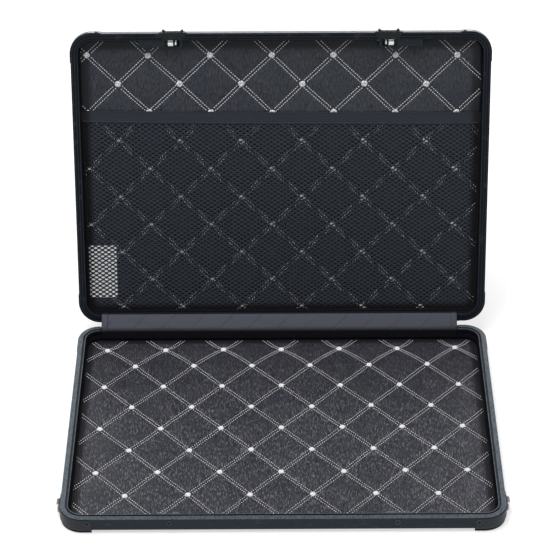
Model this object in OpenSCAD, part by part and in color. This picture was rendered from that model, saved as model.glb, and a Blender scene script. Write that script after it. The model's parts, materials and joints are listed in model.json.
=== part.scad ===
// Slim laptop hard case: two shallow halves with ribbed aluminium frames, joined by a piano hinge.
// Millimetres. The base stands on z = 0 with its front towards -y, and the lid stands open at the back.
// The lid's pieces are drawn shut, straight above the base, and then turned open about the hinge pin.

/* [Case] */
// Width of the frames, side to side
case_w = 380; // [340:1:420]
// Depth of the frames, front to back
case_d = 280; // [250:1:310]
// Radius of the frames' corners, seen from above
corner_r = 19.5; // [17:0.5:26]
// Height of the base's rim above the table
base_h = 15.1; // [14:0.1:22]
// Depth of the lid behind its rim
lid_h = 10; // [9.6:0.1:16]
// Gap between the two rims when shut
rim_gap = 0.3; // [0.2:0.05:0.6]
// Angle that the lid stands open, from shut
lid_open = 103.2; // [60:0.2:108]

/* [Frames] */
// Width of the rim, outer face to inner lip
rim_w = 6.6; // [6.5:0.1:9]
// Thickness of the frame's outer wall
wall_t = 1.6; // [1.2:0.1:2]
// Thickness of the frame's inner wall
inner_wall_t = 1.1; // [0.9:0.1:1.8]
// Distance of the rim's groove from the outer face
groove_in = 4.2; // [4:0.1:4.3]
// Width of the rim's groove
groove_w = 1.3; // [1.2:0.1:1.4]
// Depth of the rim's groove
groove_depth = 1.3; // [1:0.1:1.5]
// Number of fine grooves along the rim's flat band
rib_count = 4; // [2:1:5]
// Width and depth of each fine groove
rib_size = 0.3; // [0.2:0.05:0.4]
// Height of the lid's tongue, which enters the base's groove
tongue_h = 0.9; // [0.6:0.1:1]
// Radius along the base frame's lower outer edge
base_edge_r = 2.5; // [1.5:0.1:3]
// Radius along the lid frame's upper outer edge
lid_edge_r = 4; // [3:0.1:4.5]

/* [Corner protectors] */
// Thickness of a corner protector outside the frame
protector_t = 0.6; // [0.5:0.1:1.4]
// Length of a protector along each side, from the frame's outer face
protector_arm = 27.5; // [24:0.5:32]
// Length of the base protectors along the side walls, where they carry the strap lugs
protector_side_arm = 36; // [35.5:0.5:40]
// Width of the foot or cap that a protector folds over the frame
protector_fold = 10; // [8:0.5:12]
// Height of the feet below the base's frame
foot_h = 2; // [1.5:0.1:3]
// Distance of a protector's edge from the rim
protector_drop = 1.2; // [0.8:0.1:2]

/* [Panels and linings] */
// Thickness of the outer panels
panel_t = 1.1; // [0.8:0.1:1.3]
// Thickness of the stiff boards behind the quilting
board_t = 0.5; // [0.4:0.1:0.8]
// Thickness of the quilting along its stitches
quilt_seam_t = 0.3; // [0.2:0.1:0.5]
// Thickness of the quilting in the middle of a diamond
quilt_crown_t = 1.5; // [1:0.1:1.8]
// Thickness of the strip that lines the walls
lining_t = 0.6; // [0.5:0.1:1.2]
// Width of a diamond in the base's quilting
base_diamond_w = 54.5; // [48:0.5:62]
// Depth of a diamond in the base's quilting
base_diamond_d = 61.7; // [54:0.1:68]
// Width of a diamond in the lid's quilting
lid_diamond_w = 56.3; // [48:0.1:62]
// Depth of a diamond in the lid's quilting
lid_diamond_d = 54.4; // [48:0.1:62]

/* [Mesh pocket] */
// Height of the pocket, from the hinge pin to the band's upper edge
pocket_h = 207.3; // [150:0.1:215]
// Width of the elastic band along the pocket's mouth
band_w = 11.6; // [8:0.1:16]
// Number of mesh gaps in a row
mesh_columns = 17; // [10:1:20]
// Number of rows of mesh gaps
mesh_rows = 11; // [8:1:15]
// Width of the card behind the mesh
card_w = 25.8; // [20:0.1:60]
// Height of the card behind the mesh
card_h = 52; // [30:1:90]

/* [Latches] */
// Distance of each latch from the middle of the case
latch_x = 97.3; // [80:0.1:120]
// Width of the latch plate at the rim's outer edge
latch_plate_w = 25.6; // [22:0.1:28]
// Width of the thumb piece
thumb_w = 19.2; // [16:0.1:21]
// Travel of the thumb piece and the hook
latch_travel = 2.7; // [2.2:0.1:2.8]
// Width of the striker plate
striker_w = 19; // [18.6:0.1:20]

/* [Hinge] */
// Radius of the hinge pin
pin_r = 1; // [0.8:0.05:1.2]
// Outer radius of the knuckles
knuckle_r = 2.3; // [2.1:0.05:2.4]
// Number of knuckles, shared by both leaves
knuckle_count = 15; // [9:2:21]
// Length of the hinge
hinge_l = 318; // [280:2:322]
// Width of the cover strip over the hinge
cover_w = 333.6; // [300:0.2:334]

/* [Strap rings] */
// Distance of each strap ring behind the base's front face
ring_back = 27.5; // [26.5:0.5:28]
// Thickness of the ring's wire
ring_wire = 1.4; // [1.3:0.1:1.6]

/* [Hidden] */
$fn = 64;

// Colours
navy = [0.17, 0.19, 0.23];
black = [0.09, 0.1, 0.12];
quilt_grey = [0.2, 0.2, 0.23];
felt_black = [0.06, 0.06, 0.07];
steel = [0.75, 0.76, 0.78];
pale = [0.95, 0.95, 0.94];
cover_grey = [0.29, 0.3, 0.34];

// Clearance between pieces that are fastened together
fit_gap = 0.05;
// How far a cutting shape reaches past what it cuts
over = 1;
// Heights, with the case shut
pin_z = base_h + rim_gap / 2;
lid_rim_z = base_h + rim_gap;
lid_top_z = lid_rim_z + lid_h;
base_seat_z = foot_h + panel_t;
base_quilt_z = base_seat_z + board_t;
lid_seat_z = lid_top_z - panel_t;
lid_quilt_z = lid_seat_z - board_t;
// The hinge pin runs just behind the frames
knuckle_clear = 0.18;
pin_y = case_d / 2 + knuckle_r + knuckle_clear;
// What the frames carry starts this far in from their outer faces
panel_in = 4.4;
board_in = rim_w + fit_gap;
quilt_clear = 0.2;
quilt_in = rim_w + lining_t + quilt_clear;
// Size of the rivets
rivet_head_r = 2.6;
rivet_head_h = 0.8;
rivet_bevel = 0.6;
rivet_shank_r = 1.5;
rivet_bore_r = 0.9;
rivet_l = 3;
rivet_z = 10.6;
rivet_in = 24.1;
small_head_r = 1.8;
small_shank_r = 1.1;
small_head_h = 0.6;
small_bevel = 0.4;
// How far a small rivet reaches past what it holds, and how far its hole reaches either way
rivet_tail = 0.6;
bore_reach = 6;

// The middle of the open case's box in y: its front is a rivet's head, its back the lid's upper edge
front_y = -case_d / 2 - protector_t - fit_gap - rivet_head_h;
lid_edge_total = lid_edge_r + protector_t + fit_gap;
back_y = pin_y + lid_edge_total
    - (-case_d / 2 + lid_edge_r - pin_y) * cos(180 - lid_open)
    + (lid_top_z - lid_edge_r - pin_z) * sin(lid_open);
rest_y = (front_y + back_y) / 2;

// Places a piece of the base
module on_base() {
    translate([0, -rest_y, 0]) children();
}

// Turns a piece that is drawn shut to where the open lid holds it
module on_lid() {
    translate([0, pin_y - rest_y, pin_z]) rotate([-lid_open, 0, 0])
        translate([0, -pin_y, -pin_z]) children();
}

// Left for -1, and its mirror image on the right for 1
module on_side(side) {
    mirror([side > 0 ? 1 : 0, 0, 0]) children();
}

// A piece drawn at the front left corner, placed at any of the four
module at_corner(right, back) {
    mirror([right ? 1 : 0, 0, 0]) mirror([0, back ? 1 : 0, 0]) children();
}

module rounded_rect(w, d, r) {
    square([w - 2 * r, d], center = true);
    square([w, d - 2 * r], center = true);
    for (x = [-1, 1], y = [-1, 1]) translate([x * (w / 2 - r), y * (d / 2 - r)]) circle(r);
}

// A sheet with the case's outline, inset from the frame's outer face
module sheet(inset, z, t) {
    translate([0, 0, z]) linear_extrude(t)
        rounded_rect(case_w - 2 * inset, case_d - 2 * inset, corner_r - inset);
}

// Sweeps a section round the case: its x runs inwards from the outer face, and its y upwards
module sweep_corner() {
    translate([-case_w / 2 + corner_r, -case_d / 2 + corner_r, 0]) rotate(180)
        rotate_extrude(angle = 90) translate([corner_r, 0]) mirror([1, 0]) children();
}

module sweep_front(length) {
    translate([-length / 2, -case_d / 2, 0]) rotate([90, 0, 90]) linear_extrude(length) children();
}

module sweep_left(length) {
    translate([-case_w / 2, length / 2, 0]) rotate([90, 0, 0]) linear_extrude(length) children();
}

module sweep_all_round() {
    for (right = [false, true], back = [false, true]) at_corner(right, back) sweep_corner() children();
    for (back = [false, true]) at_corner(false, back) sweep_front(case_w - 2 * corner_r) children();
    for (right = [false, true]) at_corner(right, false) sweep_left(case_d - 2 * corner_r) children();
}

// A corner with a straight arm along each side
module sweep_one_corner(arm, side_arm) {
    straight = arm - corner_r;
    side_straight = side_arm - corner_r;
    sweep_corner() children();
    translate([-case_w / 2 + corner_r + straight / 2, 0, 0]) sweep_front(straight) children();
    translate([0, -case_d / 2 + corner_r + side_straight / 2, 0]) sweep_left(side_straight) children();
}

// What a square corner at [0, 0] loses when it is rounded
module edge_waste(r) {
    difference() {
        translate([-over, -over]) square(r + over);
        translate([r, r]) circle(r);
    }
}

// The fine grooves along a rim whose face lies at y = 0, cut upwards
module rim_ribs() {
    pitch = groove_in / (rib_count + 1);
    for (k = [1:rib_count]) translate([k * pitch - rib_size / 2, 0]) square(rib_size);
}

// A hollow frame section with its rim at y = 0, its outer face at x = 0 and its depth upwards
module frame_section(depth, edge_r) {
    flange = 2.6;
    difference() {
        square([rim_w, depth]);
        translate([wall_t, flange]) square([rim_w - wall_t - inner_wall_t, depth - 2 * flange]);
        translate([panel_in, depth - panel_t]) square([rim_w, panel_t + over]);
        translate([0, depth]) mirror([0, 1]) edge_waste(edge_r);
        rim_ribs();
    }
}

module base_section() {
    difference() {
        translate([0, base_h]) mirror([0, 1]) frame_section(base_h - foot_h, base_edge_r);
        translate([groove_in, base_h - groove_depth]) square([groove_w, groove_depth + over]);
    }
}

// The tongue is as wide as it is high
module lid_section() {
    slack = (groove_w - tongue_h) / 2;
    root = 0.5;
    translate([0, lid_rim_z]) frame_section(lid_h, lid_edge_r);
    translate([groove_in + slack, lid_rim_z - tongue_h]) square([tongue_h, tongue_h + root]);
}

// Offset of the cover strip from the middle
cover_x = -2.6;

// Both rims are lower behind the cover strip, so that it can lie between them
module strip_relief(z) {
    width = cover_w + 2 * over;
    translate([cover_x - width / 2, case_d / 2 - rim_w - over, z])
        cube([width, rim_w + 2 * over, 2 * groove_depth]);
}

// A blind rivet along -y: its head stands proud of y = 0, and its shank runs into +y
module rivet(grip = 0) {
    shank = rivet_l + grip;
    rotate([-90, 0, 0]) difference() {
        union() {
            translate([0, 0, -rivet_head_h / 2]) cylinder(r = rivet_head_r, h = rivet_head_h / 2);
            translate([0, 0, -rivet_head_h])
                cylinder(r1 = rivet_head_r - rivet_bevel, r2 = rivet_head_r, h = rivet_head_h / 2);
            cylinder(r = rivet_shank_r, h = shank);
        }
        translate([0, 0, -rivet_head_h - over]) cylinder(r = rivet_bore_r, h = rivet_head_h + 2 * over);
    }
}

// A small solid rivet along -y
module small_rivet(length) {
    rotate([-90, 0, 0]) {
        translate([0, 0, -small_head_h])
            cylinder(r1 = small_head_r - small_bevel, r2 = small_head_r, h = small_head_h);
        cylinder(r = small_shank_r, h = length);
    }
}

module rivet_hole(r, reach = bore_reach) {
    rotate([-90, 0, 0]) translate([0, 0, -reach]) cylinder(r = r + fit_gap, h = 2 * reach);
}

// The places of the corner rivets on the front and back faces, at one height
module at_end_rivets(z) {
    for (right = [false, true], back = [false, true]) at_corner(right, back)
        translate([-case_w / 2 + rivet_in, -case_d / 2 - protector_t - fit_gap, z]) children();
}

// The places of the lugs' rivets on the side walls
module at_lug_rivets() {
    for (side = [-1, 1]) on_side(side)
        translate([-case_w / 2 - protector_t - fit_gap - lug_t, -case_d / 2 + ring_back, lug_rivet_z])
            rotate([0, 0, -90]) children();
}

// Heights of the lug's rivet and of the lid's corner rivets
lug_rivet_z = 7.2;
lid_rivet_drop = 3.4;
lid_rivet_z = lid_rim_z + lid_rivet_drop;

// ---- Base ----

module base_frame() color(navy) on_base() difference() {
    sweep_all_round() base_section();
    strip_relief(base_h - groove_depth);
    at_end_rivets(rivet_z) rivet_hole(rivet_shank_r);
    at_lug_rivets() rivet_hole(small_shank_r);
    at_striker_rivets() rivet_hole(rivet_shank_r, rim_w + over);
    at_hinge_rivets(-1) rivet_hole(small_shank_r);
}

module base_panel() color(black) on_base() sheet(panel_in + fit_gap, foot_h, panel_t);

module base_board() color(felt_black) on_base() sheet(board_in, base_seat_z, board_t);

// A quilted pad: a sheet that stands on z = 0, puffed between diagonal rows of stitches.
// The knots lie a diamond apart from the first one, with a row of knots between, half a diamond over.
most_lines = 40;
function quilt_lines(half, start, step, margin) =
    concat([-half], [for (k = [-most_lines:most_lines]) let (v = start + k * step)
        if (abs(v) < half - margin) v], [half]);

function quilt_puff(x, y, size, first) =
    let (u = (x - first.x) / size.x, v = (y - first.y) / size.y)
    sqrt(abs(sin(180 * (u + v)) * sin(180 * (u - v))));

module quilt(w, d, r, size, first) {
    xs = quilt_lines(w / 2, first.x, size.x / 4, r);
    ys = quilt_lines(d / 2, first.y, size.y / 4, r);
    columns = len(xs);
    rows = len(ys);
    cut = r * (1 - sqrt(0.5));
    edge_puff = 0.25;
    function is_edge(i, j) = i == 0 || j == 0 || i == columns - 1 || j == rows - 1;
    function is_corner(i, j) = (i == 0 || i == columns - 1) && (j == 0 || j == rows - 1);
    function place(i, j) = is_corner(i, j)
        ? [xs[i] - sign(xs[i]) * cut, ys[j] - sign(ys[j]) * cut]
        : [xs[i], ys[j]];
    function puff(i, j) = is_edge(i, j) ? edge_puff : quilt_puff(xs[i], ys[j], size, first);
    function index(i, j) = j * columns + i;
    // The stitches run along the cells' diagonals, so each cell is split along its stitch
    function quarter(v, start, step) = round((v - start) / step);
    function rising(i, j) =
        (quarter(xs[i + 1], first.x, size.x / 4) - quarter(ys[j + 1], first.y, size.y / 4)
            + 4 * most_lines) % 4 == 0;
    top = [for (j = [0:rows - 1], i = [0:columns - 1])
        let (p = place(i, j)) [p.x, p.y, quilt_seam_t + puff(i, j) * (quilt_crown_t - quilt_seam_t)]];
    rim_order = concat(
        [for (i = [0:columns - 1]) index(i, 0)],
        [for (j = [1:rows - 1]) index(columns - 1, j)],
        [for (i = [columns - 2:-1:0]) index(i, rows - 1)],
        [for (j = [rows - 2:-1:1]) index(0, j)]);
    rim_n = len(rim_order);
    below = [for (k = rim_order) [top[k].x, top[k].y, 0]];
    first_below = len(top);
    middle = first_below + rim_n;
    skin = [for (j = [0:rows - 2], i = [0:columns - 2])
        let (a = index(i, j), b = index(i + 1, j), c = index(i + 1, j + 1), e = index(i, j + 1))
        each rising(i, j) ? [[a, c, b], [a, e, c]] : [[a, e, b], [b, e, c]]];
    wall = [for (k = [0:rim_n - 1])
        let (n = (k + 1) % rim_n)
        each [
            [rim_order[k], rim_order[n], first_below + k],
            [rim_order[n], first_below + n, first_below + k]
        ]];
    under = [for (k = [0:rim_n - 1]) [middle, first_below + k, first_below + (k + 1) % rim_n]];
    polyhedron(points = concat(top, below, [[0, 0, 0]]), faces = concat(skin, wall, under));
}

base_first_knot = [-164.1, 125];
lid_first_knot = [-176.9, -118];

module base_liner() color(quilt_grey) on_base() translate([0, 0, base_quilt_z])
    quilt(case_w - 2 * quilt_in, case_d - 2 * quilt_in, corner_r - quilt_in,
        [base_diamond_w, base_diamond_d], base_first_knot);

module wall_lining(z, h) {
    difference() {
        sheet(rim_w + fit_gap, z, h);
        sheet(rim_w + lining_t, z - over, h + 2 * over);
    }
}

// The linings end this far behind the rims
base_lining_drop = 0.5;
lid_lining_drop = 0.8;

module base_wall_lining() color(felt_black) on_base() difference() {
    wall_lining(base_quilt_z, base_h - base_lining_drop - base_quilt_z);
    for (side = [-1, 1]) on_side(side) striker_space();
}

// The outer face and the folded edge of a protector, with the frame's depth upwards from y = 0
module protector_section(depth, edge_r) {
    outer_r = edge_r + protector_t + fit_gap;
    out = protector_t + fit_gap;
    difference() {
        translate([-out, protector_drop]) square([out + protector_fold, depth - protector_drop + out]);
        translate([-fit_gap, -over])
            square([protector_fold + 2 * over, depth + over - edge_r + fit_gap]);
        translate([edge_r, 0]) square([protector_fold, depth + fit_gap]);
        translate([edge_r, depth - edge_r]) circle(edge_r + fit_gap);
        translate([-out, depth + out]) mirror([0, 1]) edge_waste(outer_r);
    }
}

// The foot that stands under a base protector's fold
module foot_section() {
    foot_in = 0.2;
    foot_end = 1.4;
    foot_edge_r = 0.6;
    difference() {
        translate([foot_in, 0]) square([protector_fold - foot_end - foot_in, foot_h - protector_t]);
        translate([foot_in, 0]) edge_waste(foot_edge_r);
    }
}

module base_corner(right, back) color(navy) on_base() at_corner(right, back) difference() {
    sweep_one_corner(protector_arm, protector_side_arm) union() {
        translate([0, base_h]) mirror([0, 1]) protector_section(base_h - foot_h, base_edge_r);
        foot_section();
    }
    translate([-case_w / 2 + rivet_in, -case_d / 2, rivet_z]) rivet_hole(rivet_shank_r);
    if (!back)
        translate([-case_w / 2, -case_d / 2 + ring_back, lug_rivet_z]) rotate([0, 0, -90])
            rivet_hole(small_shank_r);
}

module base_corner_front_left() base_corner(false, false);
module base_corner_front_right() base_corner(true, false);
module base_corner_back_left() base_corner(false, true);
module base_corner_back_right() base_corner(true, true);

module base_corner_rivets() color(steel) on_base() at_end_rivets(rivet_z) rivet();

// A striker is a plate on the inside of the front wall, with two prongs that leave a way in for the hook
striker_t = 0.6;
striker_drop = 0.2;
striker_top_z = base_h - striker_drop;
prong_t = 1.2;
prong_reach = 2.8;
wide_prong = 5.7;
narrow_prong = 2.6;
striker_shift = 0.4;
striker_rivet_shift = 0.8;
striker_x = -latch_x - striker_shift;
striker_rivet_x = striker_x + striker_rivet_shift;

// The lining leaves the striker free
module striker_space() {
    room = 2 * fit_gap;
    low_z = base_quilt_z + quilt_crown_t - 4 * room;
    translate([striker_x - striker_w / 2 - room, -case_d / 2 + rim_w, low_z])
        cube([striker_w + 2 * room, lining_t + over, base_h]);
}

module striker(side) color(steel) on_base() on_side(side) difference() {
    left = striker_x - striker_w / 2;
    inner_y = -case_d / 2 + rim_w + fit_gap;
    union() {
        translate([left, inner_y, base_quilt_z + quilt_crown_t])
            cube([striker_w, striker_t, striker_top_z - base_quilt_z - quilt_crown_t]);
        translate([left, inner_y, striker_top_z - prong_t]) cube([narrow_prong, prong_reach, prong_t]);
        translate([left + striker_w - wide_prong, inner_y, striker_top_z - prong_t])
            cube([wide_prong, prong_reach, prong_t]);
    }
    translate([striker_rivet_x, inner_y, rivet_z]) rivet_hole(rivet_shank_r);
}

module striker_left() striker(-1);
module striker_right() striker(1);

module at_striker_rivets() {
    for (side = [-1, 1]) on_side(side) translate([striker_rivet_x, -case_d / 2, rivet_z]) children();
}

// Their tails end flush with the strikers, to leave the hooks free
module striker_rivets() color(steel) on_base() at_striker_rivets()
    rivet(rim_w + striker_t + fit_gap - rivet_l);

// A strap lug: a small plate on the front protector's arm, rolled round the ring's upper bar
lug_t = 0.8;
lug_l = 12;
lug_z = [4.2, 11.6];
ring_clear = 0.15;
ring_x = case_w / 2 + protector_t + fit_gap + lug_t + ring_wire / 2 + ring_clear;
ring_y = -case_d / 2 + ring_back;
ring_w = 10.4;
ring_h = 8;
ring_z = lug_z[1];
lug_wrap_t = 0.6;
lug_knuckle_r = ring_wire / 2 + lug_wrap_t;
lug_knuckle_l = 6;

module strap_lug(side) color(black) on_base() on_side(side) {
    plate_x = -case_w / 2 - protector_t - fit_gap - lug_t;
    difference() {
        union() {
            translate([plate_x, ring_y - lug_l / 2, lug_z[0]]) cube([lug_t, lug_l, lug_z[1] - lug_z[0]]);
            translate([-ring_x, ring_y + lug_knuckle_l / 2, ring_z]) rotate([90, 0, 0])
                cylinder(r = lug_knuckle_r, h = lug_knuckle_l);
        }
        translate([-ring_x, ring_y + lug_l, ring_z]) rotate([90, 0, 0])
            cylinder(r = ring_wire / 2 + fit_gap, h = 2 * lug_l);
        translate([-case_w / 2 - protector_t - fit_gap, ring_y - lug_l, 0]) cube([lug_l, 2 * lug_l, base_h]);
        translate([-case_w / 2, ring_y, lug_rivet_z]) rotate([0, 0, -90]) rivet_hole(small_shank_r);
    }
}

module strap_lug_left() strap_lug(-1);
module strap_lug_right() strap_lug(1);

// A bend of the ring's wire, a quarter turn in the x-z plane
module wire_bend(r) {
    rotate([90, 0, 0]) rotate_extrude(angle = 90) translate([r, 0]) circle(ring_wire / 2, $fn = 32);
}

module strap_ring(side) color(steel) on_base() on_side(side)
translate([-ring_x, ring_y, ring_z]) rotate([0, 0, 90]) {
    top_r = 1.2;
    low_r = 3;
    half = ring_w / 2;
    translate([-half + top_r, 0, 0]) rotate([0, 90, 0])
        cylinder(d = ring_wire, h = ring_w - 2 * top_r, $fn = 32);
    translate([-half + low_r, 0, -ring_h]) rotate([0, 90, 0])
        cylinder(d = ring_wire, h = ring_w - 2 * low_r, $fn = 32);
    for (flip = [0, 1]) mirror([flip, 0, 0]) {
        translate([half - top_r, 0, -top_r]) wire_bend(top_r);
        translate([half, 0, -ring_h + low_r]) cylinder(d = ring_wire, h = ring_h - top_r - low_r, $fn = 32);
        translate([half - low_r, 0, -ring_h + low_r]) mirror([0, 0, 1]) wire_bend(low_r);
    }
}

module strap_ring_left() strap_ring(-1);
module strap_ring_right() strap_ring(1);

module lug_rivets() color(steel) on_base() at_lug_rivets()
    small_rivet(lug_t + protector_t + wall_t + rivet_tail);

// ---- Lid, drawn shut ----

// The latch's moving bar, its neck and its hook, in from the front face and up from the lid's rim
neck_w = 4;
neck_t = 1.8;
neck_drop = 3.2;
neck_z = [lid_rim_z + neck_drop, lid_rim_z + neck_drop + neck_t];
slot_room = 0.25;
housing_in = rim_w + fit_gap;
housing_depth = 6.6;
housing_drop = 0.6;
housing_z = [lid_rim_z + housing_drop, lid_quilt_z - quilt_crown_t - 2 * fit_gap];
housing_t = 0.8;
housing_x = [-128, -88.6];
boss_l = 5.2;
window_x = [-105, -91.2];
bar_x = [-115, -93.2];
hook_x = [-101.6, -97];
nose_tip_x = -92.6;
hook_set = 0.8;
hook_t = 2.2;
hook_in = [housing_in + hook_set, housing_in + hook_set + hook_t];
hook_reach = 3.1;
hook_tip_z = base_h - hook_reach;
nose_clear = 0.5;
nose_top_z = striker_top_z - prong_t - nose_clear;

module neck_slot(from_in, to_in) {
    left = -latch_x - neck_w / 2 - latch_travel - slot_room;
    translate([left, -case_d / 2 + from_in, neck_z[0] - slot_room])
        cube([neck_w + latch_travel + 2 * slot_room, to_in - from_in, neck_t + 2 * slot_room]);
}

// The plate's outline on the rim: wide at the outer edge
latch_plate_inner_w = 17;

module latch_rim_outline(grow = 0) {
    half = latch_plate_w / 2 + grow;
    inner_half = latch_plate_inner_w / 2 + grow;
    translate([-latch_x, -case_d / 2]) polygon([
        [-half, -over], [half, -over], [half, 0], [inner_half, rim_w + grow], [-inner_half, rim_w + grow],
        [-half, 0]
    ]);
}

latch_plate_t = 0.6;

module latch_recess() {
    translate([0, 0, lid_rim_z - 2 * over]) linear_extrude(latch_plate_t + fit_gap + 2 * over)
        latch_rim_outline(2 * fit_gap);
}

plate_rivet_end = 1.9;
plate_rivet_x = latch_plate_w / 2 - plate_rivet_end;
plate_rivet_drop = 2.4;
plate_rivet_z = lid_rim_z + plate_rivet_drop;
plate_rivet_r = 0.8;

module at_plate_rivets() {
    for (side = [-1, 1], end = [-1, 1]) on_side(side)
        translate([-latch_x + end * plate_rivet_x, -case_d / 2 - latch_plate_t, plate_rivet_z])
            rotate([-90, 0, 0]) children();
}

module plate_rivet_holes() {
    at_plate_rivets() translate([0, 0, -over])
        cylinder(r = plate_rivet_r + fit_gap, h = bore_reach - over, $fn = 24);
}

module lid_frame() color(navy) on_lid() difference() {
    sweep_all_round() lid_section();
    strip_relief(lid_rim_z - groove_depth);
    at_end_rivets(lid_rivet_z) rivet_hole(small_shank_r);
    at_hinge_rivets(1) rivet_hole(small_shank_r);
    for (side = [-1, 1]) on_side(side) {
        neck_slot(-over, rim_w + over);
        latch_recess();
        translate([housing_screw_x, -case_d / 2 + rim_w, housing_screw_z]) rivet_hole(screw_r);
    }
    plate_rivet_holes();
}

module lid_panel() color(black) on_lid() sheet(panel_in + fit_gap, lid_seat_z, panel_t);

module lid_board() color(felt_black) on_lid() sheet(board_in, lid_quilt_z, board_t);

module lid_liner() color(quilt_grey) on_lid() translate([0, 0, lid_quilt_z]) mirror([0, 0, 1])
    quilt(case_w - 2 * quilt_in, case_d - 2 * quilt_in, corner_r - quilt_in,
        [lid_diamond_w, lid_diamond_d], lid_first_knot);

// The lining leaves the housing free
module housing_space() {
    room = 2 * fit_gap;
    length = housing_x[1] - housing_x[0] + 2 * room;
    translate([housing_x[0] - room, -case_d / 2 + rim_w, housing_z[0] - over])
        cube([length, lining_t + over, housing_z[1] - housing_z[0] + over + room]);
}

module lid_wall_lining() color(felt_black) on_lid() difference() {
    wall_lining(lid_rim_z + lid_lining_drop, lid_h - lid_lining_drop - panel_t - board_t);
    for (side = [-1, 1]) on_side(side) housing_space();
}

module lid_corner(right, back) color(navy) on_lid() at_corner(right, back) difference() {
    sweep_one_corner(protector_arm, protector_arm)
        translate([0, lid_rim_z]) protector_section(lid_h, lid_edge_r);
    translate([-case_w / 2 + rivet_in, -case_d / 2, lid_rivet_z]) rivet_hole(small_shank_r);
}

module lid_corner_front_left() lid_corner(false, false);
module lid_corner_front_right() lid_corner(true, false);
module lid_corner_back_left() lid_corner(false, true);
module lid_corner_back_right() lid_corner(true, true);

module lid_corner_rivets() color(steel) on_lid() at_end_rivets(lid_rivet_z)
    small_rivet(protector_t + wall_t + rivet_tail);

// The pocket: a net that the wall lining holds along three sides, and an elastic band along its mouth
net_t = 0.4;
net_gap = 0.5;
net_z = lid_quilt_z - quilt_crown_t - net_gap - net_t;
band_t = 0.9;
band_z = net_z + net_t + fit_gap - band_t;
band_lap = 1;
pocket_top_y = pin_y - pocket_h;
net_end_y = pocket_top_y + band_w - band_lap;

module net_outline() {
    inset = rim_w + lining_t;
    intersection() {
        rounded_rect(case_w - 2 * inset, case_d - 2 * inset, corner_r - inset);
        translate([-case_w / 2, net_end_y]) square([case_w, case_d]);
    }
}

module mesh_pocket() color(black) on_lid() translate([0, 0, net_z]) linear_extrude(net_t) difference() {
    margin = 6;
    first_gap = 2;
    gap_share = [0.43, 0.39];
    inner_w = case_w - 2 * (rim_w + lining_t + margin);
    inner_d = case_d / 2 - rim_w - lining_t - margin - net_end_y;
    pitch = [inner_w / (mesh_columns + 0.5), inner_d / mesh_rows];
    half = [gap_share.x * pitch.x, gap_share.y * pitch.y];
    net_outline();
    for (row = [0:mesh_rows - 1], column = [0:mesh_columns - 1])
        translate([
            -inner_w / 2 + (column + 0.5 + (row % 2) / 2) * pitch.x,
            net_end_y + first_gap + (row + 0.5) * pitch.y
        ]) polygon([[-half.x, 0], [0, -half.y], [half.x, 0], [0, half.y]]);
}

module pocket_band() color(black) on_lid() {
    half = case_w / 2 - rim_w - lining_t;
    difference() {
        translate([-half, pocket_top_y, band_z]) cube([2 * half, band_w, band_t]);
        translate([-case_w, net_end_y, net_z]) cube([2 * case_w, band_w, band_t]);
    }
}

card_left = -180;
card_low = 24.8;
card_t = 0.3;

module pocket_card() color(pale) on_lid()
    translate([card_left, pin_y - card_low - card_h, net_z + net_t + 2 * fit_gap])
        cube([card_w, card_h, card_t]);

// ---- Latches, drawn shut and for the left side ----

module latch_plate(side) color(black) on_lid() on_side(side) difference() {
    front_y = -case_d / 2;
    top_half = 10.6;
    front_h = 5.8;
    half = latch_plate_w / 2;
    union() {
        translate([0, 0, lid_rim_z]) linear_extrude(latch_plate_t) intersection() {
            latch_rim_outline();
            translate([-case_w, front_y - latch_plate_t]) square([2 * case_w, case_d]);
        }
        translate([-latch_x, front_y, lid_rim_z]) rotate([90, 0, 0]) linear_extrude(latch_plate_t)
            polygon([[-half, 0], [half, 0], [top_half, front_h], [-top_half, front_h]]);
    }
    neck_slot(-2 * over, over);
    plate_rivet_holes();
}

module latch_plate_left() latch_plate(-1);
module latch_plate_right() latch_plate(1);

module latch_plate_rivets() color(steel) on_lid() at_plate_rivets() {
    head_h = slot_room - fit_gap;
    translate([0, 0, -head_h])
        cylinder(r1 = plate_rivet_r, r2 = plate_rivet_r + head_h, h = head_h, $fn = 24);
    cylinder(r = plate_rivet_r, h = latch_plate_t + wall_t, $fn = 24);
}

screw_r = 0.9;
housing_screw_drop = 4.1;
housing_screw_x = housing_x[0] + boss_l / 2;
housing_screw_z = lid_rim_z + housing_screw_drop;

module latch_housing(side) color(black) on_lid() on_side(side) difference() {
    back_y = -case_d / 2 + housing_in;
    length = housing_x[1] - housing_x[0];
    inner_h = housing_z[1] - housing_z[0] - housing_t;
    cavity_x = housing_x[0] + boss_l;
    end_r = 1.5;
    translate([0, back_y, housing_z[0]]) linear_extrude(housing_z[1] - housing_z[0]) union() {
        translate([housing_x[0] + end_r, 0]) square([length - end_r, housing_depth]);
        translate([housing_x[0], 0]) square([2 * end_r, housing_depth - end_r]);
        translate([housing_x[0] + end_r, housing_depth - end_r]) circle(end_r, $fn = 32);
    }
    translate([cavity_x, back_y - over, housing_z[0] + housing_t])
        cube([length - boss_l - housing_t, housing_depth + over - housing_t, inner_h + over]);
    translate([window_x[0], back_y - over, housing_z[0] - over])
        cube([window_x[1] - window_x[0], housing_depth + over - housing_t, housing_t + 2 * over]);
    translate([housing_screw_x, back_y, housing_screw_z]) rivet_hole(screw_r, housing_depth + over);
}

module latch_housing_left() latch_housing(-1);
module latch_housing_right() latch_housing(1);

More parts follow.
